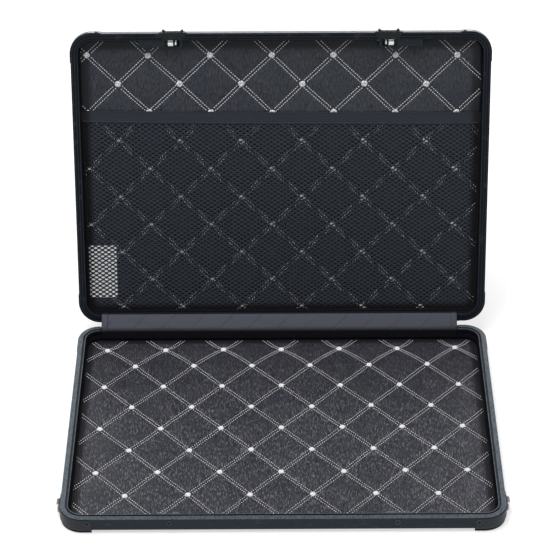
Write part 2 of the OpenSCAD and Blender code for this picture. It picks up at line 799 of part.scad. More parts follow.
module housing_screws() color(steel) on_lid() for (side = [-1, 1]) on_side(side)
    translate([housing_screw_x, -case_d / 2 + housing_in + housing_depth, housing_screw_z])
        rotate([90, 0, 0]) {
            head_r = 1.8;
            head_h = 0.8;
            bevel = 0.4;
            slot_w = 0.5;
            slot_depth = 0.4;
            difference() {
                translate([0, 0, -head_h]) cylinder(r1 = head_r - bevel, r2 = head_r, h = head_h);
                translate([-head_r - over, -slot_w / 2, -head_h - over])
                    cube([2 * (head_r + over), slot_w, slot_depth + over]);
            }
            cylinder(r = screw_r, h = housing_depth + inner_wall_t);
        }

// The thumb piece lies on the plate's front, with a pointed rib at each end
module thumb_piece(side) color(black) on_lid() on_side(side) {
    face_y = -case_d / 2 - latch_plate_t - slot_room;
    half = thumb_w / 2;
    drop = 2.6;
    bar_t = 0.6;
    height = 3;
    rib_reach = 2;
    rib_root = 2.9;
    rib_tip = [half - 0.7, half - 0.1];
    translate([-latch_x, face_y, lid_rim_z + drop]) rotate([0, 0, 180]) linear_extrude(height)
        polygon([
            [-half, 0], [half, 0], [rib_tip[1], rib_reach], [rib_tip[0], rib_reach], [half - rib_root, bar_t],
            [-half + rib_root, bar_t], [-rib_tip[0], rib_reach], [-rib_tip[1], rib_reach]
        ]);
}

module thumb_piece_left() thumb_piece(-1);
module thumb_piece_right() thumb_piece(1);

module hook_slide(side) color(steel) on_lid() on_side(side) {
    face_y = -case_d / 2 - latch_plate_t - slot_room;
    bar_y = -case_d / 2 + housing_in + slot_room;
    bar_depth = housing_depth - housing_t - 2 * slot_room;
    bar_z = housing_z[0] + housing_t + slot_room;
    bar_h = housing_z[1] - bar_z - slot_room;
    lap = 0.5;
    tip_bevel = 0.6;
    nose_h = 1;
    translate([bar_x[0], bar_y, bar_z]) cube([bar_x[1] - bar_x[0], bar_depth, bar_h]);
    translate([-latch_x - neck_w / 2, face_y, neck_z[0]])
        cube([neck_w, bar_y - face_y + lap, neck_t]);
    translate([0, -case_d / 2 + hook_in[1], 0]) rotate([90, 0, 0]) linear_extrude(hook_in[1] - hook_in[0])
        polygon([
            [hook_x[0], bar_z + lap], [hook_x[0], hook_tip_z], [hook_x[1] - tip_bevel, hook_tip_z],
            [nose_tip_x, nose_top_z - nose_h], [nose_tip_x, nose_top_z], [hook_x[1], nose_top_z],
            [hook_x[1], bar_z + lap]
        ]);
}

module hook_slide_left() hook_slide(-1);
module hook_slide_right() hook_slide(1);

// The return spring pushes the bar towards the middle of the case
spring_turns = 5.5;
spring_wire_r = 0.28;
spring_r = 1.5;
spring_rings = 8;
spring_sides = 6;
spring_set = 0.3;
spring_end = spring_wire_r + 2 * fit_gap;
spring_x = [housing_x[0] + boss_l + spring_end, bar_x[0] - spring_end];
spring_steps = spring_turns * spring_rings;
function spring_centre(k) =
    let (part = k / spring_steps, turn = 360 * spring_turns * part)
    [spring_x[0] + (spring_x[1] - spring_x[0]) * part, spring_r * cos(turn), spring_r * sin(turn)];
function spring_ring(k) =
    let (turn = 360 * spring_turns * k / spring_steps, c = spring_centre(k),
        out = [0, cos(turn), sin(turn)])
    [for (s = [0:spring_sides - 1]) let (a = 360 * s / spring_sides)
        c + spring_wire_r * (cos(a) * out + sin(a) * [1, 0, 0])];
spring_gap = min([for (a = [0:spring_steps], b = [a + spring_rings / 2:spring_steps])
    norm(spring_centre(a) - spring_centre(b))]) - 2 * spring_wire_r;
echo(least_gap_between_the_springs_turns = spring_gap);

module return_spring(side) color(steel) on_lid() on_side(side) {
    sides = spring_sides;
    translate([0, -case_d / 2 + housing_in + housing_depth / 2 - spring_set, housing_screw_z])
        polyhedron(
            points = [for (k = [0:spring_steps]) each spring_ring(k)],
            faces = concat(
                [[for (s = [sides - 1:-1:0]) s]],
                [for (k = [0:spring_steps - 1], s = [0:sides - 1])
                    let (a = k * sides + s, b = k * sides + (s + 1) % sides)
                    each [[a, b, b + sides], [a, b + sides, a + sides]]],
                [[for (s = [0:sides - 1]) spring_steps * sides + s]]));
}

module return_spring_left() return_spring(-1);
module return_spring_right() return_spring(1);

// ---- Hinge ----

leaf_t = 0.8;
leaf_h = 9;
knuckle_gap = 0.3;
knuckle_pitch = hinge_l / knuckle_count;
leaf_start = knuckle_r + knuckle_gap;
link_lap = 0.5;
hinge_rivet_drop = 6.2;
hinge_rivet_count = 8;

module at_hinge_rivets(up) {
    for (k = [0:hinge_rivet_count - 1])
        translate([
            (k - (hinge_rivet_count - 1) / 2) * hinge_l / hinge_rivet_count,
            case_d / 2 + leaf_t,
            pin_z + up * hinge_rivet_drop
        ]) rotate([0, 0, 180]) children();
}

// One leaf on the frames' back faces, with its knuckles and the links that carry them
module hinge_leaf(up, first) {
    difference() {
        union() {
            translate([-hinge_l / 2, case_d / 2, up > 0 ? pin_z + leaf_start : pin_z - leaf_h])
                cube([hinge_l, leaf_t, leaf_h - leaf_start]);
            for (k = [first:2:knuckle_count - 1])
                translate([-hinge_l / 2 + k * knuckle_pitch + knuckle_gap / 2, 0, 0]) {
                    length = knuckle_pitch - knuckle_gap;
                    translate([0, pin_y, pin_z]) rotate([0, 90, 0]) cylinder(r = knuckle_r, h = length);
                    translate([0, pin_y - knuckle_r, up > 0 ? pin_z : pin_z - leaf_start - link_lap])
                        cube([length, leaf_t - knuckle_clear, leaf_start + link_lap]);
                }
        }
        translate([-hinge_l, pin_y, pin_z]) rotate([0, 90, 0])
            cylinder(r = pin_r + fit_gap, h = 2 * hinge_l);
        at_hinge_rivets(up) rivet_hole(small_shank_r);
    }
}

module hinge_leaf_base() color(navy) on_base() hinge_leaf(-1, 0);
module hinge_leaf_lid() color(navy) on_lid() hinge_leaf(1, 1);

// The pin is held by small heads at its ends
module hinge_pin() color(steel) on_base() {
    head_l = 0.5;
    head_rise = 0.6;
    length = hinge_l + 2 * (head_l + 2 * fit_gap);
    translate([-length / 2, pin_y, pin_z]) rotate([0, 90, 0]) {
        cylinder(r = pin_r, h = length);
        for (z = [0, length - head_l]) translate([0, 0, z]) cylinder(r = pin_r + head_rise, h = head_l);
    }
}

hinge_rivet_l = leaf_t + wall_t + rivet_tail;

module hinge_rivets_base() color(steel) on_base() at_hinge_rivets(-1) small_rivet(hinge_rivet_l);
module hinge_rivets_lid() color(steel) on_lid() at_hinge_rivets(1) small_rivet(hinge_rivet_l);

// The cover strip is glued inside both back walls, and runs over both rims between them
cover_t = 0.7;
cover_y = case_d / 2 - rim_w - lining_t - cover_t - 2 * fit_gap;
function opened(y, z) = [
    pin_y + (y - pin_y) * cos(-lid_open) - (z - pin_z) * sin(-lid_open),
    pin_z + (y - pin_y) * sin(-lid_open) + (z - pin_z) * cos(-lid_open)
];

module strip_between(a, b) {
    translate(a) rotate(atan2(b.y - a.y, b.x - a.x)) translate([0, -cover_t / 2])
        square([norm(b - a), cover_t]);
    for (p = [a, b]) translate(p) circle(cover_t / 2, $fn = 24);
}

module hinge_cover() color(cover_grey) on_base() {
    end_clear = 1;
    bend_rise = 0.4;
    low = [cover_y, base_quilt_z + quilt_crown_t + end_clear];
    bend = [cover_y, base_h + bend_rise];
    lid_bend = opened(cover_y, lid_rim_z - bend_rise);
    lid_end = opened(cover_y, net_z - end_clear);
    translate([cover_x - cover_w / 2, 0, 0]) rotate([90, 0, 90]) linear_extrude(cover_w) union() {
        strip_between(low, bend);
        strip_between(bend, lid_bend);
        strip_between(lid_bend, lid_end);
    }
}

base_frame();
base_panel();
base_board();
base_liner();
base_wall_lining();
base_corner_front_left();
base_corner_front_right();
base_corner_back_left();
base_corner_back_right();
base_corner_rivets();
striker_left();
striker_right();
striker_rivets();
strap_lug_left();
strap_lug_right();
strap_ring_left();
strap_ring_right();
lug_rivets();
lid_frame();
lid_panel();
lid_board();
lid_liner();
lid_wall_lining();
lid_corner_front_left();
lid_corner_front_right();
lid_corner_back_left();
lid_corner_back_right();
lid_corner_rivets();
mesh_pocket();
pocket_band();
pocket_card();
latch_plate_left();
latch_plate_right();
latch_plate_rivets();
latch_housing_left();
latch_housing_right();
housing_screws();
thumb_piece_left();
thumb_piece_right();
hook_slide_left();
hook_slide_right();
return_spring_left();
return_spring_right();
hinge_leaf_base();
hinge_leaf_lid();
hinge_pin();
hinge_rivets_base();
hinge_rivets_lid();
hinge_cover();
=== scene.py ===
import json
import math

import bmesh
import bpy
from mathutils import Matrix, Vector, noise


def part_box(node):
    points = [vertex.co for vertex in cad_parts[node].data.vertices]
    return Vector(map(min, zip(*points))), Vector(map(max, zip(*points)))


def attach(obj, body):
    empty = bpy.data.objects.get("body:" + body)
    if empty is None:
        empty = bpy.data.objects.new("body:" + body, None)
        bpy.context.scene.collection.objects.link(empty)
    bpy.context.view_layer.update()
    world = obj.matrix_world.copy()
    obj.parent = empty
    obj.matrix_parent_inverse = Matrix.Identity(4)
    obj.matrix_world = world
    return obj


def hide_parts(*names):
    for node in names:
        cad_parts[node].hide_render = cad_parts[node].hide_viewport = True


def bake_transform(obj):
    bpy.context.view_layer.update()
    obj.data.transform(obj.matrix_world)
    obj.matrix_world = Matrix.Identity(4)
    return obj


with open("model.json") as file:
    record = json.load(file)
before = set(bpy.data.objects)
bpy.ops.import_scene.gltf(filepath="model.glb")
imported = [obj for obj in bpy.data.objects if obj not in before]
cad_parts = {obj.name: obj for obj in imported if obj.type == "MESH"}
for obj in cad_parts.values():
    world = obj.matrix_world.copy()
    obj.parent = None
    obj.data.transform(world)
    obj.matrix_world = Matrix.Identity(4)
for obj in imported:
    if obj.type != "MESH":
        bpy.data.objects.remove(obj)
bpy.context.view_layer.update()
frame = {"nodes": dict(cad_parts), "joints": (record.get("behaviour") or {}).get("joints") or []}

# ---------------------------------------------------------------- sizes, in millimetres, with the case shut

MM = 0.001

# The base frame is built straight in part.scad, so its box gives the case's outline
frame_low, frame_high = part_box("base_frame")
CASE_W = (frame_high.x - frame_low.x) / MM
CASE_D = (frame_high.y - frame_low.y) / MM
CASE_MIDDLE = (frame_high + frame_low) / 2
MIDDLE_Y = CASE_MIDDLE.y / MM
CORNER_R = 19.5
BASE_RIM_Z = frame_high.z / MM

# The hinge comes from the record
lid_hinge = next(j for j in frame["joints"] if j["name"] == "lid_hinge")
PIN = Vector(lid_hinge["pos_m"])
LID_OPEN = math.radians(lid_hinge["range_deg"][1])
PIN_Y = (PIN.y - CASE_MIDDLE.y) / MM
PIN_Z = PIN.z / MM

# The rims, whose tone, painted lighter as lit, starts a little below their top. Places on them are measured
# inwards
RIM_W = 6.6
RIM_EDGE = 0.6
LID_RIB_IN = 1.3
LID_RIB_PITCH = 2.4
FINE_RIB_PITCH = 0.8
GROOVE_FROM = 4.1
GROOVE_TO = 6.1
RIM_GAP = 0.3
LID_RIM_Z = BASE_RIM_Z + RIM_GAP

# The protectors bend round the panels' edges past these heights
BASE_BEND_Z = 5.2
LID_BEND_Z = 20.6

# The wall linings: the edge that is folded under and the crease beside it, the gaps to wall and board,
# how far short of the rims they end, and the room round what they let through
LINING_T = 0.6
LINING_FOLD = 2.8
CREASE_HALF_W = 0.3
CREASE_IN = 0.18
WALL_GAP = 0.06
BOARD_GAP = 0.05
BASE_LINING_SHORT = 0.5
LID_LINING_SHORT = 0.8
ROOM = 0.15

# The quilting lies on the boards
BASE_QUILT_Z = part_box("base_board")[1].z / MM
LID_QUILT_Z = 23.8
QUILT_IN = 7.4
QUILT_HALF_W = CASE_W / 2 - QUILT_IN
QUILT_HALF_D = CASE_D / 2 - QUILT_IN
QUILT_R = CORNER_R - QUILT_IN
QUILT_ARC = 6
SEAM_T = 0.35
CROWN_T = 1.45
PAD_LOW = 0.02

# Each line of quilting is two rows of stitches, and wanders a little off its even pattern. Stitches and
# knots keep a margin from the border, and a share of a stitch stays free beside each knot
ROW_OUT = 1.42
STITCH_PITCH = 2.4
WANDER = 0.9
STITCH_MARGIN = 1.2
KNOT_MARGIN = 0.3
KNOT_FREE = 0.2

# The stitches of the two rows are this share of a pitch apart either way, and each knot has its own turn
STAGGER = 0.2
KNOT_TURN = 0.7

# How full the filling stands between two rows, how steeply it rises beside them, and how full it is at
# the border and from how far in it thins out
BETWEEN_ROWS = 0.20
PUFF_POWER = 2.6
BORDER_FULL = 0.25
BORDER_W = 7

# The base's last row of diamonds is drawn away from the hinge, from so far in and over so much, and
# no more than at that share of the way
PULL_FROM = 40
PULL_OVER = 32
PULL_MOST = 1.2

# The pocket, measured up the lid from the hinge pin
POCKET_H = 207.3
BAND_W = 11.6
NET_PITCH = (6.2, 4.2)
NET_HOLE = (1.8, 1.08)
NET_KNOT_T = 0.13
NET_OVERLAP = 1.2
NET_SPARE = 2.5
NET_BELLY = 0.25
BAND_SAG = 1.0
WELD = 0.02

# The bare card behind the net
CARD_LEFT = -180.0
CARD_LOW = 24.8
CARD_W = 25.8
CARD_H = 52.0
CARD_Z = 1.62
CARD_R = 1.6
CARD_T = 0.26

# The hooks: the first three are measured sideways from the case's middle, and HOOK_IN from its front
HOOK_TIP = 94.0
HOOK_FROM = 97.0
HOOK_TO = 101.7
HOOK_IN = 14.0
TIP_W = 1.2
TIP_IN = 2.8

# The strip over the hinge: where it starts over the base's quilting and ends before the lid's, how far
# past the rims it bends, its hem, its cut edge, and how its ripples slant
COVER_W = 333.6
COVER_X = -2.6
COVER_T = 0.6
COVER_GAP = 0.45
COVER_START = 1.1
COVER_END = 3.4
BEND_PAST = 0.4
HEM_W = 5.6
HEM_T = 0.30
EDGE_W = 0.8
RIPPLE_SLANT = 1.6

# ---------------------------------------------------------------- where the pieces go

BASE = Matrix.Translation((0, CASE_MIDDLE.y, 0)) @ Matrix.Scale(MM, 4)
LID = Matrix.Translation(PIN) @ Matrix.Rotation(-LID_OPEN, 4, "X") @ Matrix.Translation(-PIN) @ BASE

# On both faces x runs to the right and z out of the board; y runs towards the hinge on the base's and
# away from it on the lid's
BASE_FACE = BASE @ Matrix.Translation((0, 0, BASE_QUILT_Z))
LID_FACE = LID @ Matrix.Translation((0, 0, LID_QUILT_Z)) @ Matrix.Rotation(math.pi, 4, "X")


def up_the_lid(distance):
    """The y on the lid's face of a point at that distance from the hinge pin."""
    return distance - PIN_Y


# ---------------------------------------------------------------- finishes

# The studio's light comes back from enamel and plastic a little blue
COAT_TINT = (0.66, 0.84, 1.0)

# Fabric beside the walls, in their shade
WALL_DARK = (0.003, 0.003, 0.004)


class Shade:
    """One value of a finish: a node's output, which sums and products can use."""

    def __init__(self, tree, socket):
        self.tree = tree
        self.socket = socket

    def maths(self, operation, *values):
        return add_node(self.tree, "ShaderNodeMath", {"operation": operation}, dict(enumerate(values)))

    def __add__(self, other):
        return self.maths("ADD", self, other)

    def __sub__(self, other):
        return self.maths("SUBTRACT", self, other)

    def __rsub__(self, other):
        return self.maths("SUBTRACT", other, self)

    def __mul__(self, other):
        return self.maths("MULTIPLY", self, other)

    def __pow__(self, other):
        return self.maths("POWER", self, other)

    def above(self, edge, softness):
        """0 below the edge and 1 above it, over a soft step."""
        return add_node(self.tree, "ShaderNodeMapRange", {"interpolation_type": "SMOOTHSTEP"}, {
            "Value": self, "From Min": edge - softness / 2, "From Max": edge + softness / 2})

    def between(self, low, high, softness):
        """1 from the low edge to the high one and 0 outside them."""
        return self.above(low, softness) * (1 - self.above(high, softness))

    def size(self):
        return self.maths("ABSOLUTE", self)

    def at_least(self, other):
        return self.maths("MAXIMUM", self, other)

    def at_most(self, other):
        return self.maths("MINIMUM", self, other)

    def ridges(self, pitch):
        """1 at every whole pitch and 0 half-way between."""
        return 0.5 + 0.5 * self.maths("COSINE", self * (math.tau / pitch))

    __radd__ = __add__
    __rmul__ = __mul__


def times(tone, share):
    """A tone so much lighter or darker."""
    return tuple(share * c for c in tone)


def feed(tree, socket, value):
    """Links a value to a socket, or writes a number or colour into it."""
    if isinstance(value, Shade):
        tree.links.new(value.socket, socket)
    elif socket.type == "RGBA" and len(value) == 3:
        socket.default_value = (*value, 1)
    else:
        socket.default_value = value


def add_node(tree, kind, settings, inputs, output=0):
    """Adds a node, with its settings by name and its inputs by name or number, and gives an output."""
    node = tree.nodes.new(kind)
    for key, value in settings.items():
        setattr(node, key, value)
    for key, value in inputs.items():
        feed(tree, node.inputs[key], value)
    if node.outputs:
        return Shade(tree, node.outputs[output])


class Look:
    """A finish. Its patterns lie in the shut case's space, in metres."""

    def __init__(self, name, on_lid=False):
        self.material = bpy.data.materials.new(name)
        self.material.use_nodes = True
        self.tree = self.material.node_tree
        self.tree.nodes.clear()
        self.place = self.node("ShaderNodeTexCoord", {}, {}, "Object")
        if on_lid:
            self.place = self.node("ShaderNodeVectorRotate", {"rotation_type": "X_AXIS"}, {
                "Vector": self.place, "Center": PIN, "Angle": LID_OPEN})

    def node(self, kind, settings, inputs, output=0):
        return add_node(self.tree, kind, settings, inputs, output)

    def along(self, axis):
        """The place along x, y or z, in millimetres."""
        return self.node("ShaderNodeSeparateXYZ", {}, {0: self.place}, axis.upper()) * (1 / MM)

    def inset(self):
        """How far the place lies inside the case's outer face, in millimetres."""
        over_x = self.along("x").size() - (CASE_W / 2 - CORNER_R)
        over_y = (self.along("y") - MIDDLE_Y).size() - (CASE_D / 2 - CORNER_R)
        outside = (over_x.at_least(0) ** 2 + over_y.at_least(0) ** 2) ** 0.5
        return CORNER_R - outside - over_x.at_least(over_y).at_most(0)

    def wall_shade(self, start, reach):
        """0 beside the walls, where shade is painted in, and 1 that much farther in."""
        return self.inset().above(QUILT_IN + start + reach / 2, reach)

    def stretched(self, stretch, turn):
        """The place, turned about z and stretched, so that a pattern runs along one way."""
        return self.node("ShaderNodeMapping", {}, {
            "Vector": self.place, "Rotation": (0, 0, turn), "Scale": stretch})

    def cloud(self, size, detail=2, stretch=(1, 1, 1), turn=0):
        """Soft noise whose lumps are about that size, in millimetres, from 0 to 1."""
        return self.node("ShaderNodeTexNoise", {}, {
            "Vector": self.stretched(stretch, turn), "Scale": 1 / (size * MM), "Detail": detail})

    def cells(self, size, feature, stretch=(1, 1, 1)):
        """Cells of about that size, in millimetres, as the distance from their middles or their edges."""
        return self.node("ShaderNodeTexVoronoi", {"feature": feature}, {
            "Vector": self.stretched(stretch, 0), "Scale": 1 / (size * MM)}, "Distance")

    def lines(self, size, direction, bend=0):
        """Even ridges of that pitch, in millimetres."""
        return self.node("ShaderNodeTexWave", {"bands_direction": direction}, {
            "Vector": self.stretched((1, 1, 1), 0), "Scale": math.tau / 20 / (size * MM),
            "Distortion": bend}, "Fac")

    def mix(self, share, first, second):
        return self.node("ShaderNodeMix", {"data_type": "RGBA"}, {0: share, 6: first, 7: second}, 2)

    def uneven(self, size, tone):
        """A tone that is lighter and darker in soft patches."""
        return self.mix(self.cloud(size), times(tone, 0.85), times(tone, 1.15))

    def bump(self, height, depth, strength=1.0):
        """Relief as deep as that, in millimetres."""
        return self.node("ShaderNodeBump", {}, {
            "Height": height, "Distance": depth * MM, "Strength": strength})

    def surface(self, **sockets):
        """Ends the finish with a surface whose sockets are named in words_with_underscores."""
        inputs = {key.replace("_", " "): value for key, value in sockets.items()}
        shader = self.node("ShaderNodeBsdfPrincipled", {}, inputs)
        self.node("ShaderNodeOutputMaterial", {}, {"Surface": shader})
        return self.material


def frame_enamel(name, on_lid, tone, lit_rim_tone):
    """Satin enamel on an aluminium frame, whose ribbed rim is painted lighter, as the light falls on it,
    with painted highlights and shade along its ribs and groove.
    """
    look = Look(name, on_lid)
    scuffs = look.cloud(9, 5, (1, 1, 3)).above(0.63, 0.1)
    grain = look.cloud(0.35, 2)
    if on_lid:
        on_rim = (-1 * look.along("z")).above(-LID_RIM_Z - RIM_EDGE, 0.2)
        # Painted highlights on the lid's ribs: light lines along them, with painted shade between
        ribs = (look.inset() - LID_RIB_IN).ridges(LID_RIB_PITCH) ** 3
        deep = 0.12
    else:
        on_rim = look.along("z").above(BASE_RIM_Z - RIM_EDGE, 0.2)
        # On the base: lighter streaks as painted glints off the fine ribs, and painted shade in the groove;
        # deep says how dark it is
        streaks = look.cloud(1.1, 3, (1, 0.3, 1), turn=0.5)
        groove = look.inset().between(GROOVE_FROM, GROOVE_TO, 0.2)
        ribs = (0.5 + 0.9 * streaks.above(0.5, 0.3)) * (1 - groove)
        deep = 0.02
    fine_ribs = look.inset().ridges(FINE_RIB_PITCH)
    wall = look.uneven(40, tone)
    rim = look.mix(ribs, times(lit_rim_tone, deep), lit_rim_tone)
    return look.surface(
        Base_Color=look.mix(scuffs * 0.25, look.mix(on_rim, wall, rim), (0.085, 0.095, 0.112)),
        Roughness=0.38 + 0.1 * look.cloud(6) + 0.12 * scuffs,
        Normal=look.bump(0.15 * grain + on_rim * (0.5 * ribs + 0.35 * fine_ribs), 0.14, 0.6),
        Specular_IOR_Level=0.12 if on_lid else 0.22,
        Specular_Tint=(0.72, 0.88, 1.0),
        Coat_Weight=(1 - on_rim) * (0.03 if on_lid else 0.0),
        Coat_Tint=COAT_TINT,
    )


def protector_plastic(name, on_lid, tone):
    """Moulded corner plastic, with fine slanting ribs on its bent edge, painted lighter as highlights."""
    look = Look(name, on_lid)
    height = look.along("z")
    bent = height.above(LID_BEND_Z, 0.6) if on_lid else (-1 * height).above(-BASE_BEND_Z, 0.6)
    # Painted highlights: the ribs on the bent edge are painted lighter
    ribs = look.lines(0.9, "DIAGONAL") * bent
    body = look.uneven(25, tone)
    return look.surface(
        Base_Color=look.mix(ribs * 0.5, body, times(tone, 1.9)),
        Roughness=0.42 + 0.14 * look.cloud(8),
        Normal=look.bump(ribs * 0.9 + 0.1 * look.cloud(0.5), 0.12),
        Specular_IOR_Level=0.25,
        Coat_Weight=0.2 if on_lid else 0.0,
        Coat_Tint=COAT_TINT,
    )


def quilted_leather(name, on_lid, dark, light, glint_tone):
    """Imitation leather: pebbled, with short creases that run up and down, painted lighter as glints.

    On the lid it is darker in the pocket, in the net's shade.
    """
    look = Look(name, on_lid)
    pebbles = look.cells(1.4, "SMOOTH_F1", (1, 0.7, 1))
    creases = look.cells(4.2, "DISTANCE_TO_EDGE", (1.8, 0.5, 1)).above(0.05, 0.08)
    streaks = look.cloud(0.95, 3, (1, 0.22, 1), turn=0.12)
    # Painted glints: lighter streaks in the glint tone stand in for light caught on the short creases
    bright = streaks.above(0.56, 0.15) * look.cloud(16, 2).above(0.36, 0.5)
    greener = look.cloud(48, 1).above(0.48, 0.12) * 0.6
    tone = look.mix(look.cloud(30, 3), dark, light)
    tone = look.mix(greener, tone, (light[0] * 0.98, light[1] * 1.06, light[2] * 0.86))
    if on_lid:
        wear_and_glints = look.mix(bright * 0.7, tone, glint_tone)
    else:
        # The base's leather is darker towards the hinge, and its painted glints are fainter there
        nearer = 1 - look.along("y").above(MIDDLE_Y + 60, 200)
        tone = look.mix((1 - nearer) * 0.45, tone, times(dark, 0.55))
        wear_and_glints = look.mix(bright * (0.3 + 0.6 * nearer), tone, glint_tone)
    # Painted shade: the creases are painted darker
    crease_shaded = look.mix((1 - creases) * 0.8, wear_and_glints, times(dark, 0.4))
    if on_lid:
        in_pocket = look.along("y").above(MIDDLE_Y + PIN_Y - POCKET_H + BAND_W, 1.5)
        crease_shaded = look.mix(in_pocket * 0.6, crease_shaded, (0.002, 0.003, 0.004))
    shade = look.wall_shade(6.2, 6.0) if on_lid else look.wall_shade(4.2, 5.0)
    return look.surface(
        Base_Color=look.mix(shade, times(dark, 0.3), crease_shaded),
        Roughness=0.45 + 0.25 * streaks,
        Normal=look.bump(0.5 * (1 - pebbles) + 0.35 * creases + 0.4 * streaks, 0.3, 0.8),
        Specular_IOR_Level=0.22,
    )


def sewing_thread(name, on_lid, dark, light, twist_size=0.35):
    """Twisted thread, greyed beside the walls with painted shade."""
    look = Look(name, on_lid)
    twist = look.lines(twist_size, "DIAGONAL")
    return look.surface(
        Base_Color=look.mix(look.wall_shade(0.0, 3.5), (0.04, 0.045, 0.05), look.mix(twist, dark, light)),
        Roughness=0.5 + 0.15 * twist,
        Normal=look.bump(twist, 0.08, 0.7),
        Sheen_Weight=0.3,
    )


def black_felt():
    """Brushed black lining fabric."""
    look = Look("black_felt")
    fuzz = look.cloud(0.5, 4)
    patches = look.cloud(14, 3)
    return look.surface(
        Base_Color=look.mix(fuzz, (0.0075, 0.0080, 0.0110), (0.017, 0.018, 0.024)),
        Roughness=0.86 + 0.1 * patches,
        Normal=look.bump(fuzz, 0.35),
        Specular_IOR_Level=0.03,
    )


def pocket_fabric(look, weave, tone, roughness, shine):
    """Ends a finish of the pocket's fabric, which is painted darker beside the walls, as their shade."""
    return look.surface(
        Base_Color=look.mix(look.wall_shade(4.0, 7.0), WALL_DARK, tone),
        Roughness=roughness + 0.2 * weave,
        Normal=look.bump(weave, 0.15),
        Specular_IOR_Level=shine,
    )


def knitted_net():
    """Black knitted nylon."""
    look = Look("knitted_net", True)
    knit = look.lines(0.55, "DIAGONAL", bend=1.5)
    tone = look.mix(knit, (0.024, 0.029, 0.040), (0.052, 0.060, 0.077))
    return pocket_fabric(look, knit, tone, 0.62, 0.15)


def elastic_band():
    """Woven elastic, with fine cords along it."""
    look = Look("elastic_band", True)
    weave = look.lines(0.8, "X") * look.cloud(0.6, 3)
    tone = look.mix(look.cloud(18, 3, (0.4, 1, 1)), (0.016, 0.020, 0.028), (0.026, 0.031, 0.041))
    woven = look.mix(weave * 0.6, tone, (0.055, 0.062, 0.078))
    return pocket_fabric(look, weave, woven, 0.6, 0.2)


def card_paper():
    """Bare white card, with a trace of fibre."""
    look = Look("card_paper", True)
    fibre = look.cloud(0.8, 4)
    paper = look.mix(fibre, (0.90, 0.91, 0.92), (0.98, 0.98, 0.98))
    # Painted shade: the card is darker beside the wall
    return look.surface(
        Base_Color=look.mix(look.wall_shade(0.4, 6.5), (0.06, 0.065, 0.07), paper),
        Roughness=0.6 + 0.15 * fibre,
        Normal=look.bump(fibre, 0.03),
    )


def black_metal(name, tone, coat=0.0):
    """Black-plated steel, rubbed a little brighter in places."""
    look = Look(name)
    rubbed = look.cloud(2.5, 4).above(0.6, 0.14)
    return look.surface(
        Base_Color=look.mix(rubbed * 0.5, tone, times(tone, 2.6)),
        Metallic=0.3,
        Roughness=0.4 + 0.2 * look.cloud(1.2, 3),
        Normal=look.bump(look.cloud(0.4, 3), 0.03),
        Specular_IOR_Level=0.2,
        Coat_Weight=coat,
    )


def bright_steel(name, tone, roughness, metallic=1.0):
    """Plated steel with fine scratches."""
    look = Look(name)
    scratches = look.cloud(1.4, 4, (1, 0.12, 1), turn=0.6)
    return look.surface(
        Base_Color=look.mix(scratches, times(tone, 0.82), tone),
        Metallic=metallic,
        Roughness=roughness + 0.16 * scratches,
        Normal=look.bump(scratches, 0.02, 0.6),
    )


def hook_steel():
    """The hook slides: black-plated, with the hook itself rubbed bare and bright."""
    look = Look("hook_steel", True)
    from_middle = look.along("x").size()
    wear_and_glints = from_middle.between(HOOK_FROM, HOOK_TO, 0.3)
    tip = from_middle.between(HOOK_TIP, HOOK_TIP + TIP_W, 0.3)
    front = MIDDLE_Y - CASE_D / 2
    tip = tip * (1 - look.along("y").above(front + HOOK_IN - TIP_IN, 0.4))
    wear_and_glints = (wear_and_glints + tip) * (1 - look.along("y").above(front + HOOK_IN, 0.4))
    scratches = look.cloud(0.9, 4, (1, 0.3, 1))
    bright = look.mix(scratches, (0.55, 0.56, 0.57), (0.86, 0.86, 0.86))
    return look.surface(
        Base_Color=look.mix(wear_and_glints, (0.008, 0.009, 0.010), bright),
        Metallic=0.2 + 0.8 * wear_and_glints,
        Roughness=0.3 + 0.16 * scratches,
        Normal=look.bump(scratches, 0.04, 0.6),
        Specular_IOR_Level=0.15,
    )


def shell_panel():
    """The outer panels: pebbled dark sheet."""
    look = Look("shell_panel")
    pebbles = look.cells(1.6, "SMOOTH_F1")
    scuffs = look.cloud(5, 5, (1, 0.3, 1), turn=0.6).above(0.66, 0.08) * look.cloud(45, 1).above(0.5, 0.2)
    tone = look.mix(look.cloud(60, 3), (0.014, 0.017, 0.023), (0.024, 0.028, 0.036))
    tone = look.mix(pebbles * 0.7, tone, (0.007, 0.009, 0.012))
    return look.surface(
        Base_Color=look.mix(scuffs * 0.5, tone, (0.060, 0.066, 0.078)),
        Roughness=0.48 + 0.18 * look.cloud(5) + 0.1 * scuffs,
        Normal=look.bump(1 - pebbles, 0.3),
    )


def backing_board():
    """Grey fibre board behind the quilting."""
    look = Look("backing_board")
    fibre = look.cloud(1.2, 5, (1, 0.5, 1))
    return look.surface(
        Base_Color=look.mix(fibre, (0.012, 0.012, 0.013), (0.03, 0.03, 0.032)),
        Roughness=0.8 + 0.1 * fibre,
        Normal=look.bump(fibre, 0.08),
    )


